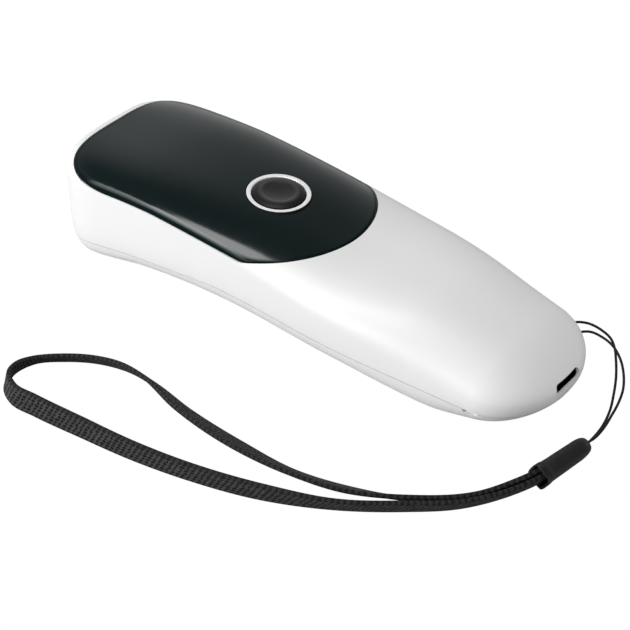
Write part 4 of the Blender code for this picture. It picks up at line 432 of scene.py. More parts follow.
def combine(target, operation, other):
    """An exact Boolean step, applied at once."""
    step = target.modifiers.new("step", "BOOLEAN")
    step.operation = operation
    step.solver = "EXACT"
    step.object = other
    bpy.context.view_layer.update()
    made = bpy.data.meshes.new_from_object(target.evaluated_get(bpy.context.evaluated_depsgraph_get()))
    target.modifiers.clear()
    old = target.data
    target.data = made
    bpy.data.meshes.remove(old)
    bpy.data.objects.remove(other)
    return target


def cut(target, tool):
    combine(target, "DIFFERENCE", tool)


def crisp(obj, limit):
    """Keeps edges above an angle sharp."""
    obj.data.set_sharp_from_angle(angle=math.radians(limit))


def soften(obj, reference):
    """Gives the faces that lie on a smooth reference surface that surface's own shading, and keeps edges crisp."""
    mesh = obj.data
    mesh.shade_smooth()
    crisp(obj, 32.0)
    ref = reference.data
    corners = [v.co.copy() for v in ref.vertices]
    smooth = [v.normal.copy() for v in ref.vertices]
    faces = [tuple(p.vertices) for p in ref.polygons]
    tree = BVHTree.FromPolygons(corners, faces)
    normals = [Vector(c.vector) for c in mesh.corner_normals]
    cache = {}
    for face in mesh.polygons:
        for loop in face.loop_indices:
            index = mesh.loops[loop].vertex_index
            if index not in cache:
                spot, _, near, distance = tree.find_nearest(mesh.vertices[index].co)
                cache[index] = None
                if spot is not None and distance < 3e-5:
                    weights = poly_3d_calc([corners[k] for k in faces[near]], spot)
                    total = Vector((0.0, 0.0, 0.0))
                    for weight, k in zip(weights, faces[near]):
                        total += smooth[k] * weight
                    cache[index] = total.normalized()
            better = cache[index]
            if better is not None and better.dot(face.normal) > 0.80:
                normals[loop] = better
    mesh.normals_split_custom_set(normals)


def settle(obj, body, node):
    """Body and replaced node of a drawn piece."""
    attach(obj, body)
    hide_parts(node)
    return obj


# -------- body surface

def hermite(t, span, start, end, start_slope, end_slope):
    """Cubic between two knots a span apart."""
    return ((2 * t ** 3 - 3 * t ** 2 + 1) * start + (t ** 3 - 2 * t ** 2 + t) * span * start_slope
            + (3 * t ** 2 - 2 * t ** 3) * end + (t ** 3 - t ** 2) * span * end_slope)


def through(table, share):
    """Value of a smooth curve through a table."""
    xs, ys = zip(*table)
    slopes = []
    for i in range(len(xs)):
        low, high = max(i - 1, 0), min(i + 1, len(xs) - 1)
        slopes.append((ys[high] - ys[low]) / (xs[high] - xs[low]))
    share = min(max(share, xs[0]), xs[-1])
    i = 0
    while i < len(xs) - 2 and share > xs[i + 1]:
        i += 1
    span = xs[i + 1] - xs[i]
    return hermite((share - xs[i]) / span, span, ys[i], ys[i + 1], slopes[i], slopes[i + 1])


def unit(value):
    return min(max(value, 0.0), 1.0)


def blended(pair, share):
    return pair[0] + (pair[1] - pair[0]) * share


def lengths(points):
    """Length of a line up to each of its points."""
    return np.concatenate([[0.0], np.cumsum(np.linalg.norm(np.diff(points, axis=0), axis=1))])


def rounding(share, power):
    """Height of a rounded end, from 1 where the share is 0 to 0 where it is 1."""
    return (1.0 - unit(share) ** power) ** (1.0 / power)


def section(y, inset=0.0, roof=False):
    """Half width, widest height, upper and lower heights and their powers at y."""
    share = (y - NOSE_Y) / LENGTH
    blend = unit((share - 0.25) / 0.67)
    top = -DEPTH * through(CROWN, share)
    base = -DEPTH * through(BELLY, share)
    mid = blended((base, top), blended(WIDEST, blend))
    half = HALF * through(WIDTHS, share) - inset
    if roof:
        t = unit((0.0335 - y) / 0.010)
        fade = t * t * (3.0 - 2.0 * t)
        top -= (PANEL_THICK + GAP + POST_WALL - inset) * fade
        mid -= 0.0035 * fade
    nose, tail = NOSE_Y + inset, TAIL_Y - inset
    ending = rounding((y - tail + TAIL_ROUND) / TAIL_ROUND, 1.98)
    nose_wide = rounding((nose + CORNER - y) / CORNER, 3.59)
    nose_high = rounding((nose + NOSE_EDGE - y) / NOSE_EDGE, 2.2)
    return (half * ending * nose_wide, mid, (top - inset - mid) * ending * nose_high,
            (mid - base - inset) * ending * nose_high, blended(UPPER_POWER, blend), blended(LOWER_POWER, blend))


def crown(x, y):
    """Height of the outer surface in the deck frame."""
    half, mid, upper, _, power, _ = section(y)
    return mid + upper * rounding(abs(x) / half, power)


def roof(x, y):
    """Height of the hollow's ceiling."""
    half, mid, upper, _, power, _ = section(y, WALL, True)
    return mid + upper * rounding(abs(x) / half, power)


def side_reach(y, z):
    """Half width of the body at a height of its section at y."""
    half, mid, upper, lower, upper_power, lower_power = section(y)
    if z > mid:
        return half * rounding((z - mid) / upper, upper_power)
    return half * rounding((mid - z) / lower, lower_power)


def leaned(y, z):
    """Place along the deck after the nose's undercut."""
    return y + UNDERCUT * max(-z, 0.0) * unit((NOSE_Y + 0.030 - y) / 0.030)


def half_arc(half, height, power, count, below):
    """Evenly spaced points over one half of a section, from the near side to the far side."""
    angle = np.linspace(0.0, math.pi, 1601)
    c, s = np.cos(angle), np.abs(np.sin(angle))
    x = half * np.sign(c) * np.abs(c) ** (2.0 / power)
    z = height * s ** (2.0 / power) * (-1.0 if below else 1.0)
    run = np.concatenate([[0.0], np.cumsum(np.hypot(np.diff(x), np.diff(z)))])
    at = np.linspace(0.0, run[-1], count + 1)
    return np.interp(at, run, x), np.interp(at, run, z)


def fine_ring(y, count, inset=0.0, covered=False, rest=True):
    """Loop of the section at y; rest keeps it above the table."""
    half, mid, upper, lower, upper_power, lower_power = section(y, inset, covered)
    xa, za = half_arc(half, upper, upper_power, count, False)
    xb, zb = half_arc(half, lower, lower_power, count, True)
    xs = np.concatenate([xa, xb[::-1][1:-1]])
    zs = np.concatenate([za, zb[::-1][1:-1]]) + mid
    points = []
    for x, z in zip(xs, zs):
        at = leaned(y, z)
        if rest:
            z = max(z, (math.sin(DECK_TILT) * at - DECK_HEIGHT) / math.cos(DECK_TILT))
        points.append((float(x), float(at), float(z)))
    return points


def body(bm, count, rings, inset=0.0, covered=False, facet=FACET, rest=True):
    """The closed body, drawn in by an inset, with a flat facet at its tail."""
    nose, tail = NOSE_Y + inset, TAIL_Y - inset
    end = tail - facet
    places = [nose + CORNER * (1.0 - math.cos(0.5 * math.pi * i / rings[0])) for i in range(1, rings[0] + 1)]
    start = tail - TAIL_ROUND
    places += [nose + CORNER + (start - nose - CORNER) * i / rings[1] for i in range(1, rings[1] + 1)]
    last = math.asin((end - start) / TAIL_ROUND)
    places += [start + TAIL_ROUND * math.sin(last * i / rings[2]) for i in range(1, rings[2] + 1)]
    previous = None
    for y in places:
        loop = ring(bm, fine_ring(y, count, inset, covered, rest))
        if previous is None:
            mid = section(y, inset, covered)[1]
            fan(bm, loop, (0.0, leaned(nose, mid), mid))
        else:
            bridge(bm, previous, loop)
        previous = loop
    bm.faces.new(previous)


def parting(y):
    """Height of the line where the shells meet."""
    return -DEPTH * through(PARTING, (y - NOSE_Y) / LENGTH)


def parting_block(far, offset):
    """Everything from the parting line, moved by an offset, to a far height."""
    wide = HALF + CLEAR
    rows = []
    for y in np.linspace(NOSE_Y - CLEAR, TAIL_Y + CLEAR, 121):
        z = parting(y) + offset
        rows.append([(-wide, y, z), (wide, y, z), (wide, y, far), (-wide, y, far)])
    bm = bmesh.new()
    made = skin(bm, rows)
    bm.faces.new(made[0])
    bm.faces.new(made[-1])
    return from_bm("tool", bm)


# -------- top panel

def panel_half(y):
    """Half width of the panel at y."""
    front = rounding((PANEL_FRONT + PANEL_FRONT_ROUND - y) / PANEL_FRONT_ROUND, 3.68)
    rear = rounding((y - PANEL_REAR + PANEL_REAR_ROUND) / PANEL_REAR_ROUND, 1.94)
    return PANEL_HALF * front * rear


def panel_outline(count):
    """Evenly spaced plan points of the panel's edge, and the direction square to the edge at each."""
    centre = 0.5 * (PANEL_FRONT + PANEL_REAR)
    dense = []
    for angle in np.linspace(0.0, 2.0 * math.pi, 1440, endpoint=False):
        across, along = math.sin(angle), math.cos(angle)
        low, high = 0.0, PANEL_REAR - PANEL_FRONT
        for _ in range(34):
            middle = 0.5 * (low + high)
            y = centre + middle * along
            inside = PANEL_FRONT < y < PANEL_REAR and abs(middle * across) < panel_half(y)
            low, high = (middle, high) if inside else (low, middle)
        dense.append((low * across, centre + low * along))
    dense = np.array(dense + dense[:1])
    run = lengths(dense)
    at = np.linspace(0.0, run[-1], count, endpoint=False)
    points = np.stack([np.interp(at, run, dense[:, 0]), np.interp(at, run, dense[:, 1])], axis=1)
    along = np.roll(points, -1, axis=0) - np.roll(points, 1, axis=0)
    outward = np.stack([-along[:, 1], along[:, 0]], axis=1)
    outward /= np.linalg.norm(outward, axis=1)[:, None]
    if (outward[0] * (points[0] - (0.0, centre))).sum() < 0.0:
        outward = -outward
    return points, outward, centre


def shrunk(points, centre, share):
    """Plan points drawn towards the panel's centre."""
    return [(x * share, centre + (y - centre) * share) for x, y in points]


def on_crown(flat, drop=0.0):
    return [(x, y, crown(x, y) - drop) for x, y in flat]


def panel_body(bm, loops, centre, top, base):
    """Skin over loops of the panel or its seat, closed above and below."""
    made = skin(bm, loops)
    fan(bm, made[0], (0.0, centre, crown(0.0, centre) - top))
    fan(bm, made[-1], (0.0, centre, crown(0.0, centre) - base))
    return made


def panel_seat_tool():
    """Room for the panel, with the deck's rounded land below it."""
    points, outward, centre = panel_outline(200)
    base = PANEL_THICK + GAP
    loops = [[(x, y, crown(px, py) - drop) for (x, y), (px, py) in zip(points + outward * 0.0002, points)]
             for drop in (-CLEAR, 0.0007)]
    loops.append(on_crown(points - outward * PANEL_STEP, base))
    loops += [on_crown(shrunk(points, centre, share), base) for share in (0.80, 0.42)]
    bm = bmesh.new()
    panel_body(bm, loops, centre, -CLEAR, base)
    return from_bm("tool", bm)


def top_panel():
    """Crowned black panel with a softly rounded edge."""
    points, outward, centre = panel_outline(240)
    loops = [on_crown(shrunk(points, centre, share)) for share in np.linspace(0.04, 0.965, 30)]
    loops += [on_crown(points - outward * inset) for inset in (0.0009, 0.0006)]
    for angle in np.linspace(0.0, 0.5 * math.pi, 6):
        inset = PANEL_ROUND * (1.0 - math.sin(angle))
        loops.append(on_crown(points - outward * inset, PANEL_ROUND * (1.0 - math.cos(angle))))
    loops += [on_crown(points, 0.0004), on_crown(points - outward * PANEL_STEP, PANEL_THICK)]
    loops += [on_crown(shrunk(points, centre, share), PANEL_THICK) for share in (0.80, 0.42)]
    bm = bmesh.new()
    edge = bm.verts.layers.float.new("edge")
    made = panel_body(bm, loops, centre, 0.0, PANEL_THICK)
    for i, loop in enumerate(made[31:]):
        for vert in loop:
            vert[edge] = min(0.6 + 0.4 * i, 1.0)
    panel = from_bm("panel_glass", bm, "panel_black")
    bm = bmesh.new()
    pin(bm, RING_OUT + 0.0002, -CLEAR, CLEAR, 128)
    cut(panel, from_bm("tool", bm))
    panel.data.shade_smooth()
    crisp(panel, 35.0)
    return settle(panel, "casing", "top_panel")


# -------- shells

def window_matrix():
    turn = Matrix.Rotation(math.radians(90.0) + math.atan(UNDERCUT), 4, "X")
    return Matrix.Translation((0.0, NOSE_Y + UNDERCUT * WINDOW_DROP, -WINDOW_DROP)) @ turn


def port_outline(grow):
    half = 0.5 * PORT_HIGH + grow
    return rounded(0.5 * PORT_WIDE + grow, half, half * 0.98)


def port_loop(outline, depth, lean=0.4):
    """Outline of the port at a depth behind the tail; its upper half leans back with the tail."""
    place = Matrix.Translation((0.0, TAIL_Y - FACET, -PORT_DROP)) @ Matrix.Rotation(math.radians(-90.0), 4, "X")
    return [place @ Vector((x, y, depth - lean * max(0.0006 - y, 0.0))) for x, y in outline]


def port_mouth():
    """Slot through the tail: roomy behind, with an outer lip that covers the metal's rim."""
    wide, lip = port_outline(GAP), [(x, y - 0.00022) for x, y in rounded(0.00457, 0.0012, 0.00116)]
    bm = bmesh.new()
    made = skin(bm, [port_loop(wide, -0.008, 0.0), port_loop(wide, -PORT_LIP), port_loop(lip, -PORT_LIP),
                     port_loop(lip, CLEAR, 0.0)])
    bm.faces.new(made[0])
    bm.faces.new(list(reversed(made[-1])))
    return from_bm("tool", bm)


def port_metal():
    """Drawn sleeve of the charging port, set back behind the lip, coloured near black as painted shade in the slot."""
    outer, inner = port_outline(0.0), port_outline(-GAP)
    bm = bmesh.new()
    skin(bm, [port_loop(outer, -0.0005), port_loop(outer, -0.0076, 0.0), port_loop(inner, -0.0076, 0.0),
              port_loop(inner, -0.0005)], True)
    obj = from_bm("port_metal", bm, "port_steel_painted_shade")
    crisp(obj, 40.0)
    return settle(obj, "casing", "port_shell")


def seat(y):
    """Height of the case screws' heads at y."""
    return parting(y) - 0.0016


def core():
    """The body drawn in by half its wall."""
    bm = bmesh.new()
    body(bm, 16, (7, 9, 4), 0.5 * WALL, rest=False)
    return from_bm("tool", bm)


def hollow():
    bm = bmesh.new()
    body(bm, 24, (9, 14, 7), WALL, covered=True, facet=WALL, rest=False)
    return from_bm("tool", bm)


def shell(name, look="white_shell"):
    bm = bmesh.new()
    body(bm, 72, (26, 60, 26))
    return from_bm(name, bm, look)


STRING = (
    (0.0079, 0.0741, 0.0032), (0.0056, 0.0742, 0.0031), (0.0022, 0.0743, 0.0031), (-0.0012, 0.0743, 0.0037),
    (-0.0055, 0.0736, 0.0050), (-0.0095, 0.0721, 0.0064), (-0.0131, 0.0704, 0.0077), (-0.0167, 0.0681, 0.0093),
    (-0.0190, 0.0663, 0.0103), (-0.0203, 0.0646, 0.0111), (-0.0209, 0.0615, 0.0119), (-0.0208, 0.0580, 0.0121),
    (-0.0198, 0.0558, 0.0119), (-0.0184, 0.0546, 0.0116), (-0.0165, 0.0539, 0.0116), (-0.0148, 0.0541, 0.0116),
    (-0.0139, 0.0554, 0.0116), (-0.0142, 0.0567, 0.0116), (-0.0155, 0.0575, 0.0117), (-0.0172, 0.0582, 0.0118),
    (-0.0184, 0.0599, 0.0121), (-0.0186, 0.0633, 0.0120), (-0.0180, 0.0661, 0.0116), (-0.0164, 0.0691, 0.0105),
    (-0.0137, 0.0718, 0.0089), (-0.0108, 0.0735, 0.0076), (-0.0076, 0.0744, 0.0065), (-0.0039, 0.0749, 0.0055),
    (-0.0003, 0.0752, 0.0046), (0.0029, 0.0751, 0.0041), (0.0056, 0.0746, 0.0041), (0.0079, 0.0743, 0.0042))
BAND = (
    (0.0138, 0.0726, 0.0007, 29.0), (0.0189, 0.0718, 0.0009, 29.0), (0.0266, 0.0686, 0.0006, 33.1),
    (0.0354, 0.0627, 0.0002, 33.4), (0.0434, 0.0538, 0.0, 30.6), (0.0515, 0.0428, 0.0, 29.9),
    (0.0585, 0.0294, 0.0, 15.6), (0.0636, 0.0130, 0.0, 9.3), (0.0660, 0.0010, 0.0, 4.0),
    (0.0676, -0.0124, 0.0, -2.4), (0.0689, -0.0253, 0.0, -7.0), (0.0691, -0.0320, 0.0, -8.2),
    (0.0664, -0.0370, 0.0, -13.8), (0.0620, -0.0392, 0.0, -28.1), (0.0562, -0.0382, 0.0, -39.8),
    (0.0512, -0.0334, 0.0, -40.3), (0.0472, -0.0272, 0.0, -39.4), (0.0450, -0.0198, 0.0, -37.3),
    (0.0451, -0.0121, 0.0, -37.8), (0.0471, -0.0001, 0.0, -50.6), (0.0482, 0.0156, 0.0, -57.7),
    (0.0481, 0.0299, 0.0, -51.3), (0.0450, 0.0419, 0.0, -53.8), (0.0403, 0.0525, 0.0, -43.0),
    (0.0306, 0.0637, 0.0, -36.5), (0.0248, 0.0680, 0.0011, -31.8), (0.0185, 0.0707, 0.0015, -29.0),
    (0.0136, 0.0715, 0.0014, -29.0))


def strap_holes(bm):
    """Two holes with a bar of wall between them."""
    for pair in ((15, 13), (17, 19)):
        start, end = (DECK.inverted() @ (Vector(STRING[i]) + STRAP_SHIFT) for i in pair)
        turn = (end - start).normalized().to_track_quat("Z", "Y").to_matrix().to_4x4()
        lathe(bm, ((0.0, -CLEAR), (STRAP_HOLE, -CLEAR), (STRAP_HOLE, CLEAR), (0.0, CLEAR)), 32,
              Matrix.Translation(0.5 * (start + end)) @ turn)


def add_posts(obj, bm):
    """Joins posts to a shell, trimmed to half its wall."""
    combine(obj, "UNION", combine(from_bm("posts", bm), "INTERSECT", core()))


def upper_shell():
    """White top and sides with the deck, posts and openings."""
    obj = shell("shell_top")
    cut(obj, hollow())
    keeper = roof(FLANGE, FLANGE) - GAP - FLANGE_THICK - TRAVEL - GAP
    bm = bmesh.new()
    for x, y in CASE_SCREWS:
        pin(bm, CASE_SCREW + POST_WALL, parting(y) + GAP, CLEAR, 28, x, y)
    for x, y in BOARD_SCREWS:
        pin(bm, SMALL_SCREW + POST_WALL, -BOARD_TOP + GAP, CLEAR, 28, x, y)
    for side in (-1.0, 1.0):
        pin(bm, SMALL_SCREW + POST_WALL, ENGINE_TOP + GAP, CLEAR, 28, side * EAR_X, EAR_Y)
        pin(bm, 0.0008, keeper - 0.0008 - GAP, CLEAR, 16, side * 0.0099, 0.0)
    add_posts(obj, bm)
    cut(obj, panel_seat_tool())
    cut(obj, parting_block(BELOW, 0.0001))
    bm = bmesh.new()
    pin(bm, DECK_BORE, -0.008, CLEAR, 96)
    window = rounded(HALF * 0.555 + POST_WALL, DEPTH * 0.2606 + POST_WALL, 0.0040)
    prism(bm, window, -0.0063, CLEAR, window_matrix())
    for x, y in CASE_SCREWS:
        pin(bm, CASE_SCREW + GAP, BELOW, seat(y) + CASE_SCREW_LONG + GAP, 20, x, y)
    for x, y in BOARD_SCREWS:
        pin(bm, SMALL_HOLE, -DEPTH, -BOARD_TOP - BOARD_THICK - GAP + SMALL_SCREW_LONG + GAP, 20, x, y)
    for side in (-1.0, 1.0):
        pin(bm, SMALL_HOLE, -DEPTH, ENGINE_TOP - EAR_THICK + SMALL_SCREW_LONG, 20, side * EAR_X, EAR_Y)
    strap_holes(bm)
    cut(obj, from_bm("tool", bm))
    cut(obj, port_mouth())
    return obj


def lower_shell():
    """White belly with screw wells, battery ribs and a pry notch in its rim."""
    obj = shell("shell_belly")
    cut(obj, hollow())
    bm = bmesh.new()
    for x, y in CASE_SCREWS:
        pin(bm, CASE_SCREW_HEAD + GAP + POST_WALL, BELOW, parting(y) - GAP, 32, x, y)
    for share in (-0.38, 0.0, 0.38):
        y = 0.006 + 0.5 * BATTERY_LONG + share * BATTERY_LONG
        block(bm, (HALF, 0.0012, 0.006), (0.0, y, -BATTERY_TOP - BATTERY_DEEP - GAP - 0.003))
    add_posts(obj, bm)
    cut(obj, parting_block(2.0 * DEPTH, -0.0001))
    bm = bmesh.new()
    wide, narrow = CASE_SCREW_HEAD + GAP, CASE_SCREW + GAP
    for x, y in CASE_SCREWS:
        s = seat(y)
        lathe(bm, ((0.0, BELOW), (wide, BELOW), (wide, s), (narrow, s), (narrow, CLEAR), (0.0, CLEAR)), 40,
              Matrix.Translation((x, y, 0.0)))
    y = TAIL_Y - 0.0134
    block(bm, (0.0027, 0.0034, 0.0018), (side_reach(y, parting(y)) + 0.00045, y, parting(y)))
    cut(obj, from_bm("tool", bm))
    return obj


# -------- trigger

def trigger_ring():
    """Bright ring, rounded at both rims."""
    rim, lip = 0.00015, 0.0003
    outer = [(RING_OUT - rim + rim * math.sin(a), RING_TOP - rim + rim * math.cos(a))
             for a in np.linspace(0.5 * math.pi, 0.0, 5)]
    inner = [(RING_IN + lip - lip * math.sin(a), RING_TOP - lip + lip * math.cos(a))
             for a in np.linspace(0.0, 0.5 * math.pi, 7)]
    bm = bmesh.new()
    skin(bm, turned([(RING_IN, -PANEL_THICK), (RING_OUT, -PANEL_THICK)] + outer + inner, 144), True)
    obj = from_bm("ring_bright", bm, "ring_metal")
    crisp(obj, 40.0)
    return settle(obj, "casing", "trigger_ring")


def trigger_cap():
    """Dished black cap with a turned crest, a sloping flank, a flange and a stem."""
    edge = RING_IN - GAP
    flange = roof(FLANGE, FLANGE) - GAP
    base = flange - FLANGE_THICK
    crest, dish, wall, stem = 0.0007, 0.00025, 0.0012, 0.0016
    dish_edge, land_edge = 0.0037, 0.0046
    profile = [(0.0, dish)]
    for r in np.linspace(0.0004, dish_edge, 10):
        profile.append((float(r), dish + (crest - 0.00012 - dish) * float(r / dish_edge) ** 2.2))
    profile += [(0.00385, crest - 0.00007), (0.0040, crest - 0.00002), (0.0042, crest), (0.0045, crest),
                (land_edge, crest - 0.00002)]
    for t in np.linspace(0.15, 0.92, 6):
        profile.append((blended((land_edge, edge), float(t)), blended((crest, RING_TOP), float(t) ** 1.6)))
    profile += [(edge, RING_TOP), (edge, flange), (FLANGE, flange), (FLANGE, base), (edge - wall, base),
                (edge - wall, -wall), (stem, -wall), (stem, SWITCH_TOP + GAP), (0.0, SWITCH_TOP + GAP)]
    bm = bmesh.new()
    lathe(bm, profile, 144)
    obj = from_bm("cap_dished", bm, "cap_black")
    crisp(obj, 40.0)
    return settle(obj, "trigger", "trigger_button")


# -------- strap

def smooth_route(route, step):
    """Evenly spaced points on a smooth curve; a route of four columns is spaced by its plan length."""
    rows = np.array(route, dtype=float)
    sides = 3 if rows.shape[1] == 3 else 2
    knots = lengths(rows[:, :sides])
    slopes = np.gradient(rows, knots, axis=0)
    count = max(int(round(knots[-1] / step)), 2)
    made = []
    for at in np.linspace(0.0, knots[-1], count + 1):
        i = min(int(np.searchsorted(knots, at, side="right")) - 1, len(knots) - 2)
        span = knots[i + 1] - knots[i]
        made.append(hermite((at - knots[i]) / span, span, rows[i], rows[i + 1], slopes[i], slopes[i + 1]))
    made = np.array(made)
    made[:, 1] += LOOP_Y
    return made


BAND_WIDTH, BAND_THICK = 0.0054, 0.00105
RIB, RIB_SLANT = 0.00125, 2.25


def band():
    """Woven band on its edge: rounded selvedges, ribbed faces, swept along its route."""
    rows = smooth_route(BAND, 0.00045)
    run = lengths(rows[:, :2])
    outline = [(t, -0.5) for t in np.linspace(0.05, 0.95, 15)]
    outline += [(0.95 + 0.06 * math.sqrt(math.sin(a)), -0.5 * math.sqrt(math.cos(a))) for a in (0.35, 0.9, 1.35)]
    outline += [(t, -s) for t, s in reversed(outline[15:])]
    outline += [(1.0 - t, -s) for t, s in outline]
    rise = Vector((0.0, 0.0, 1.0))
    bm = bmesh.new()
    uv = bm.loops.layers.uv.new("weave")
    rings, centres = [], []
    for i, (x, y, lift, lean) in enumerate(rows):
        before, after = rows[max(i - 1, 0)], rows[min(i + 1, len(rows) - 1)]
        ahead = Vector((after[0] - before[0], after[1] - before[1], 0.0)).normalized()
        left = Vector((-ahead.y, ahead.x, 0.0))
        angle = math.radians(lean)
        wide = left * math.sin(angle) + rise * math.cos(angle)
        thick = left * math.cos(angle) - rise * math.sin(angle)
        foot = Vector((x, y, lift + GAP + 0.5 * BAND_THICK * abs(math.sin(angle))))
        loop = []
        for t, s in outline:
            rib = math.cos(2.0 * math.pi * (run[i] / RIB + RIB_SLANT * t))
            body_half = BAND_THICK * s * (1.0 + 0.035 * rib if 0.1 < t < 0.9 else 1.0)
            loop.append(foot + wide * (BAND_WIDTH * t) + thick * body_half)
        rings.append(ring(bm, loop))
        centres.append(tuple(foot + wide * (0.5 * BAND_WIDTH)))
    count = len(outline)
    for i in range(len(rings) - 1):
        for j in range(count):
            corners = ((i, j), (i, (j + 1) % count), (i + 1, (j + 1) % count), (i + 1, j))
            face = bm.faces.new([rings[a][b] for a, b in corners])
            for loop, (a, b) in zip(face.loops, corners):
                loop[uv].uv = (run[a] / RIB + RIB_SLANT * outline[b][0], outline[b][0] * 6.0)
    bm.faces.new(rings[0])
    bm.faces.new(list(reversed(rings[-1])))
    return from_bm("band_woven", bm, "band_weave", deck=False), centres


CLASP_MOUTH, CLASP_END = Vector((0.01992, 0.07236, 0.00406)), Vector((0.00613, 0.07447, 0.00369))
CLASP_WIDE, CLASP_THICK = 0.00388, 0.00254
CLASP_WALL, CLASP_ROLL, CLASP_ROUND, CLASP_HOLE = 0.00065, 0.00018, 0.0030, 0.00115
CLASP_POWER, BORE_POWER = 2.6, 6.0
TAPER, SLANT = 0.094, 0.00115


def clasp():
    """Soft sleeve with a rolled lip at its mouth and a rounded end that the string leaves."""
    axis, length = (CLASP_END - CLASP_MOUTH).normalized(), (CLASP_END - CLASP_MOUTH).length
    rise = Vector((0.0, 0.0, 1.0))
    wide = rise.cross(axis).normalized() * -1.0 * math.sin(STRAP_LEAN) + rise * math.cos(STRAP_LEAN)
    wide = (wide - axis * wide.dot(axis)).normalized()
    thick = axis.cross(wide).normalized()
    loops = []

    def add(along, half_wide, half_thick, power=CLASP_POWER):
        taper = 1.0 - TAPER * along / length
        loop = []
        for angle in (2.0 * math.pi * (i + 0.5) / 64 for i in range(64)):
            c, s = math.cos(angle), math.sin(angle)
            a = taper * half_wide * math.copysign(abs(c) ** (2.0 / power), c)
            b = taper * half_thick * math.copysign(abs(s) ** (2.0 / power), s)
            slant = SLANT * max(1.0 - along / 0.006, 0.0) * (1.0 + c)
            loop.append(CLASP_MOUTH + STRAP_SHIFT + axis * (along - slant) + wide * a + thick * b)
        loops.append(loop)

    def drawn_in(along, inset, power=CLASP_POWER):
        add(along, CLASP_WIDE - inset, CLASP_THICK - inset, power)

    bore_end, straight = length * 0.62, length - CLASP_ROUND
    for along in (bore_end, 0.4 * bore_end, 0.0006, 0.00025):
        drawn_in(along, CLASP_WALL, BORE_POWER)
    for angle in np.linspace(0.0, math.pi, 9):
        drawn_in(0.00025 - 0.00025 * math.sin(angle), CLASP_WALL - 0.5 * CLASP_WALL * (1.0 - math.cos(angle)),
                 BORE_POWER + (CLASP_POWER - BORE_POWER) * angle / math.pi)
    for along, inset in ((0.0008, 0.0), (0.0012, 0.0), (0.00145, 0.00008), (0.0019, 0.00014), (0.0030, CLASP_ROLL)):
        drawn_in(along, inset)
    for along in np.linspace(0.0045, straight, 8):
        drawn_in(along, CLASP_ROLL)
    for angle in (0.5 * math.pi * i / 12 for i in range(1, 12)):
        add(straight + CLASP_ROUND * math.sin(angle), (CLASP_WIDE - CLASP_ROLL) * (0.35 + 0.65 * math.cos(angle)),
            (CLASP_THICK - CLASP_ROLL) * (0.58 + 0.42 * math.cos(angle)))
    for along in (length - 0.00005, length - 0.0006, bore_end + 0.0003):
        add(along, CLASP_HOLE, CLASP_HOLE, 2.0)
    bm = bmesh.new()
    skin(bm, loops, True)
    obj = from_bm("clasp_sleeve", bm, "clasp_black", deck=False)
    crisp(obj, 50.0)
    return obj


def string():
    """Round cord, its points and its length."""
    curve = bpy.data.curves.new("string_loop", "CURVE")
    curve.dimensions = "3D"
    curve.bevel_depth = 0.00029
    curve.bevel_resolution = 5
    curve.use_fill_caps = True
    points = smooth_route(STRING, 0.0006)
    line = curve.splines.new("POLY")
    line.points.add(len(points) - 1)
    for spot, at in zip(line.points, points):
        spot.co = (*at, 1.0)
    line.use_smooth = True
    return link("string_loop", curve, "string_braid"), points, float(lengths(points)[-1])


def strap():
    sleeve = settle(clasp(), "casing", "strap_clasp")
    cloth, line = band()
    settle(cloth, "casing", "strap_band")
    thin, points, reach = string()
    settle(thin, "casing", "strap_string")


# -------- carried-over nodes

NODE_LOOKS = {
    "satin_black": "button_keeper engine_housing lens_barrel", "bezel_black": "window_bezel",
    "window_smoke": "scan_window", "clear_glass": "camera_lens", "lamp_clear": "lamp_left lamp_right",
    "aimer_red": "aimer_lens", "board_green": "engine_board main_board",
    "chip_black": "image_sensor switch_body processor_chip memory_chip charger_chip buzzer port_tongue",
    "bracket_steel": "engine_bracket", "flex_amber": "flex_cable",
    "cream": "flex_socket switch_plunger battery_plug battery_socket", "shield_tin": "radio_shield",
    "led_lens": "status_led", "battery_wrap": "battery_cell", "guard_amber": "battery_guard_board",
    "lead_red": "battery_lead_red", "lead_black": "battery_lead_black"}


def dress_nodes():
    """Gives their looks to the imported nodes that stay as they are."""
    chosen = {node: look for look, nodes in NODE_LOOKS.items() for node in nodes.split()}
    for name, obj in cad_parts.items():
        look = chosen.get(name, "steel" if "screw" in name else None)
        if look:
            obj.data.materials.clear()
            obj.data.materials.append(looks[look])


# -------- studio

def lamp(name, place, target, size, watts, tall=None, turn=0.0, glossy_only=False):
    data = bpy.data.lights.new(name, "AREA")
    data.energy = watts
    data.size = size
    if tall:
        data.shape = "RECTANGLE"
        data.size_y = tall
    obj = bpy.data.objects.new(name, data)
    bpy.context.scene.collection.objects.link(obj)
    aim = (Vector(place) - Vector(target)).normalized()
    level = Vector((0.0, 0.0, 1.0)).cross(aim).normalized()
    side = level * math.cos(turn) + aim.cross(level) * math.sin(turn)
    obj.matrix_world = posed(side, aim.cross(side), aim, place)
    if glossy_only:
        obj.visible_diffuse = False
        obj.visible_camera = False


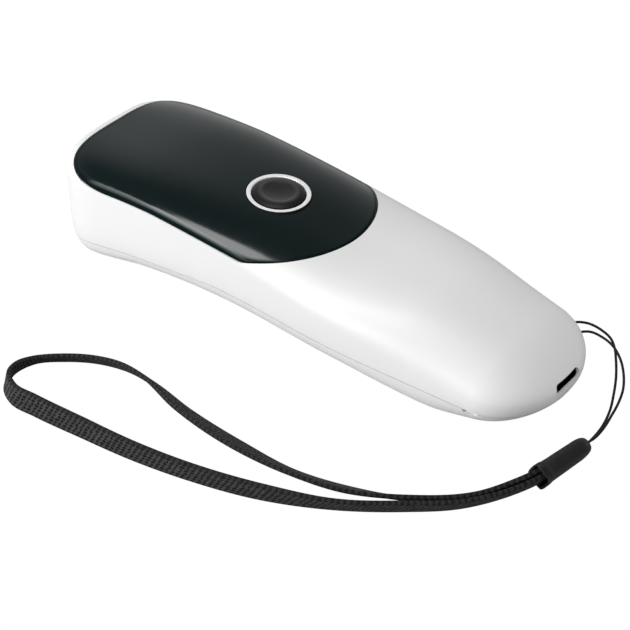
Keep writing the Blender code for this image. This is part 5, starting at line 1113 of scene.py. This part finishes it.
def sky():
    """Even white surround, and for gloss a bright far horizon under a dim ceiling."""
    world = bpy.data.worlds.new("world")
    bpy.context.scene.world = world
    world.use_nodes = True
    n = Graph(world.node_tree)
    n.tree.nodes.remove(n.tree.nodes["Background"])
    x, y, z = n.add("ShaderNodeSeparateXYZ", Vector=n.add("ShaderNodeTexCoord").outputs["Generated"]).outputs
    rays = n.add("ShaderNodeLightPath").outputs

    def glow(strength):
        return n.add("ShaderNodeBackground", Color=(1.0, 1.0, 1.0, 1.0), Strength=strength).outputs[0]

    def fade(source, start, end, low, high):
        return n.ranged(source, low, high, start, end, "SMOOTHSTEP")

    near = fade(n.maths("ADD", n.times(x, 0.80), n.times(y, 0.60)), -0.35, 0.10, 1.0, 0.0)
    height = n.maths("ADD", fade(z, 0.20, 0.50, 0.369, 0.0), fade(z, 0.40, 0.75, 0.471, 0.0))
    ceiling = n.maths("MULTIPLY_ADD", n.maths("POWER", n.maths("MAXIMUM", z, 0.0), 8.0), 0.075, 0.107)
    base = n.either(rays["Is Glossy Ray"], glow(0.687), glow(n.maths("MULTIPLY_ADD", height, near, ceiling)))
    seen = n.maths("MAXIMUM", rays["Is Camera Ray"], rays["Is Transmission Ray"])
    n.fill(n.tree.nodes["World Output"], Surface=n.either(seen, base, glow(1.0)))


def floor():
    """Matt white table that glows for the camera."""
    far = 3.0
    mesh = bpy.data.meshes.new("floor")
    mesh.from_pydata([(-far, -far, 0.0), (far, -far, 0.0), (far, far, 0.0), (-far, far, 0.0)], [], [(0, 1, 2, 3)])
    n = Look("floor_white")
    n.set(Base_Color=(0.50, 0.50, 0.50, 1.0), Roughness=0.9, Specular_IOR_Level=0.1)
    seen = n.times(n.add("ShaderNodeLightPath").outputs["Is Camera Ray"], 0.955)
    glow = n.add("ShaderNodeEmission", Strength=1.04)
    n.fill(n.tree.nodes["Material Output"], Surface=n.either(seen, n.shader.outputs[0], glow.outputs[0]))
    link("floor", mesh, "floor_white")


def studio():
    sky()
    floor()
    lamp("key", (0.95, -0.55, 0.42), (0.0, 0.0, 0.01), 0.7, 11.07)
    edge, aim = Vector((0.018, -0.005, 0.022)), Vector((0.3589, -0.3939, 0.8462))
    lamp("strip", edge + aim * 0.125, edge, 0.044, 0.22, 0.256, 0.224, True)


# -------- assembly

def shells():
    smooth_body = shell("reference", None)
    for made, node in ((upper_shell(), "upper_housing"), (lower_shell(), "lower_cover")):
        soften(made, smooth_body)
        settle(made, "casing", node)
    bpy.data.objects.remove(smooth_body)


strap()
shells()
port_metal()
top_panel()
trigger_ring()
trigger_cap()
dress_nodes()
studio()
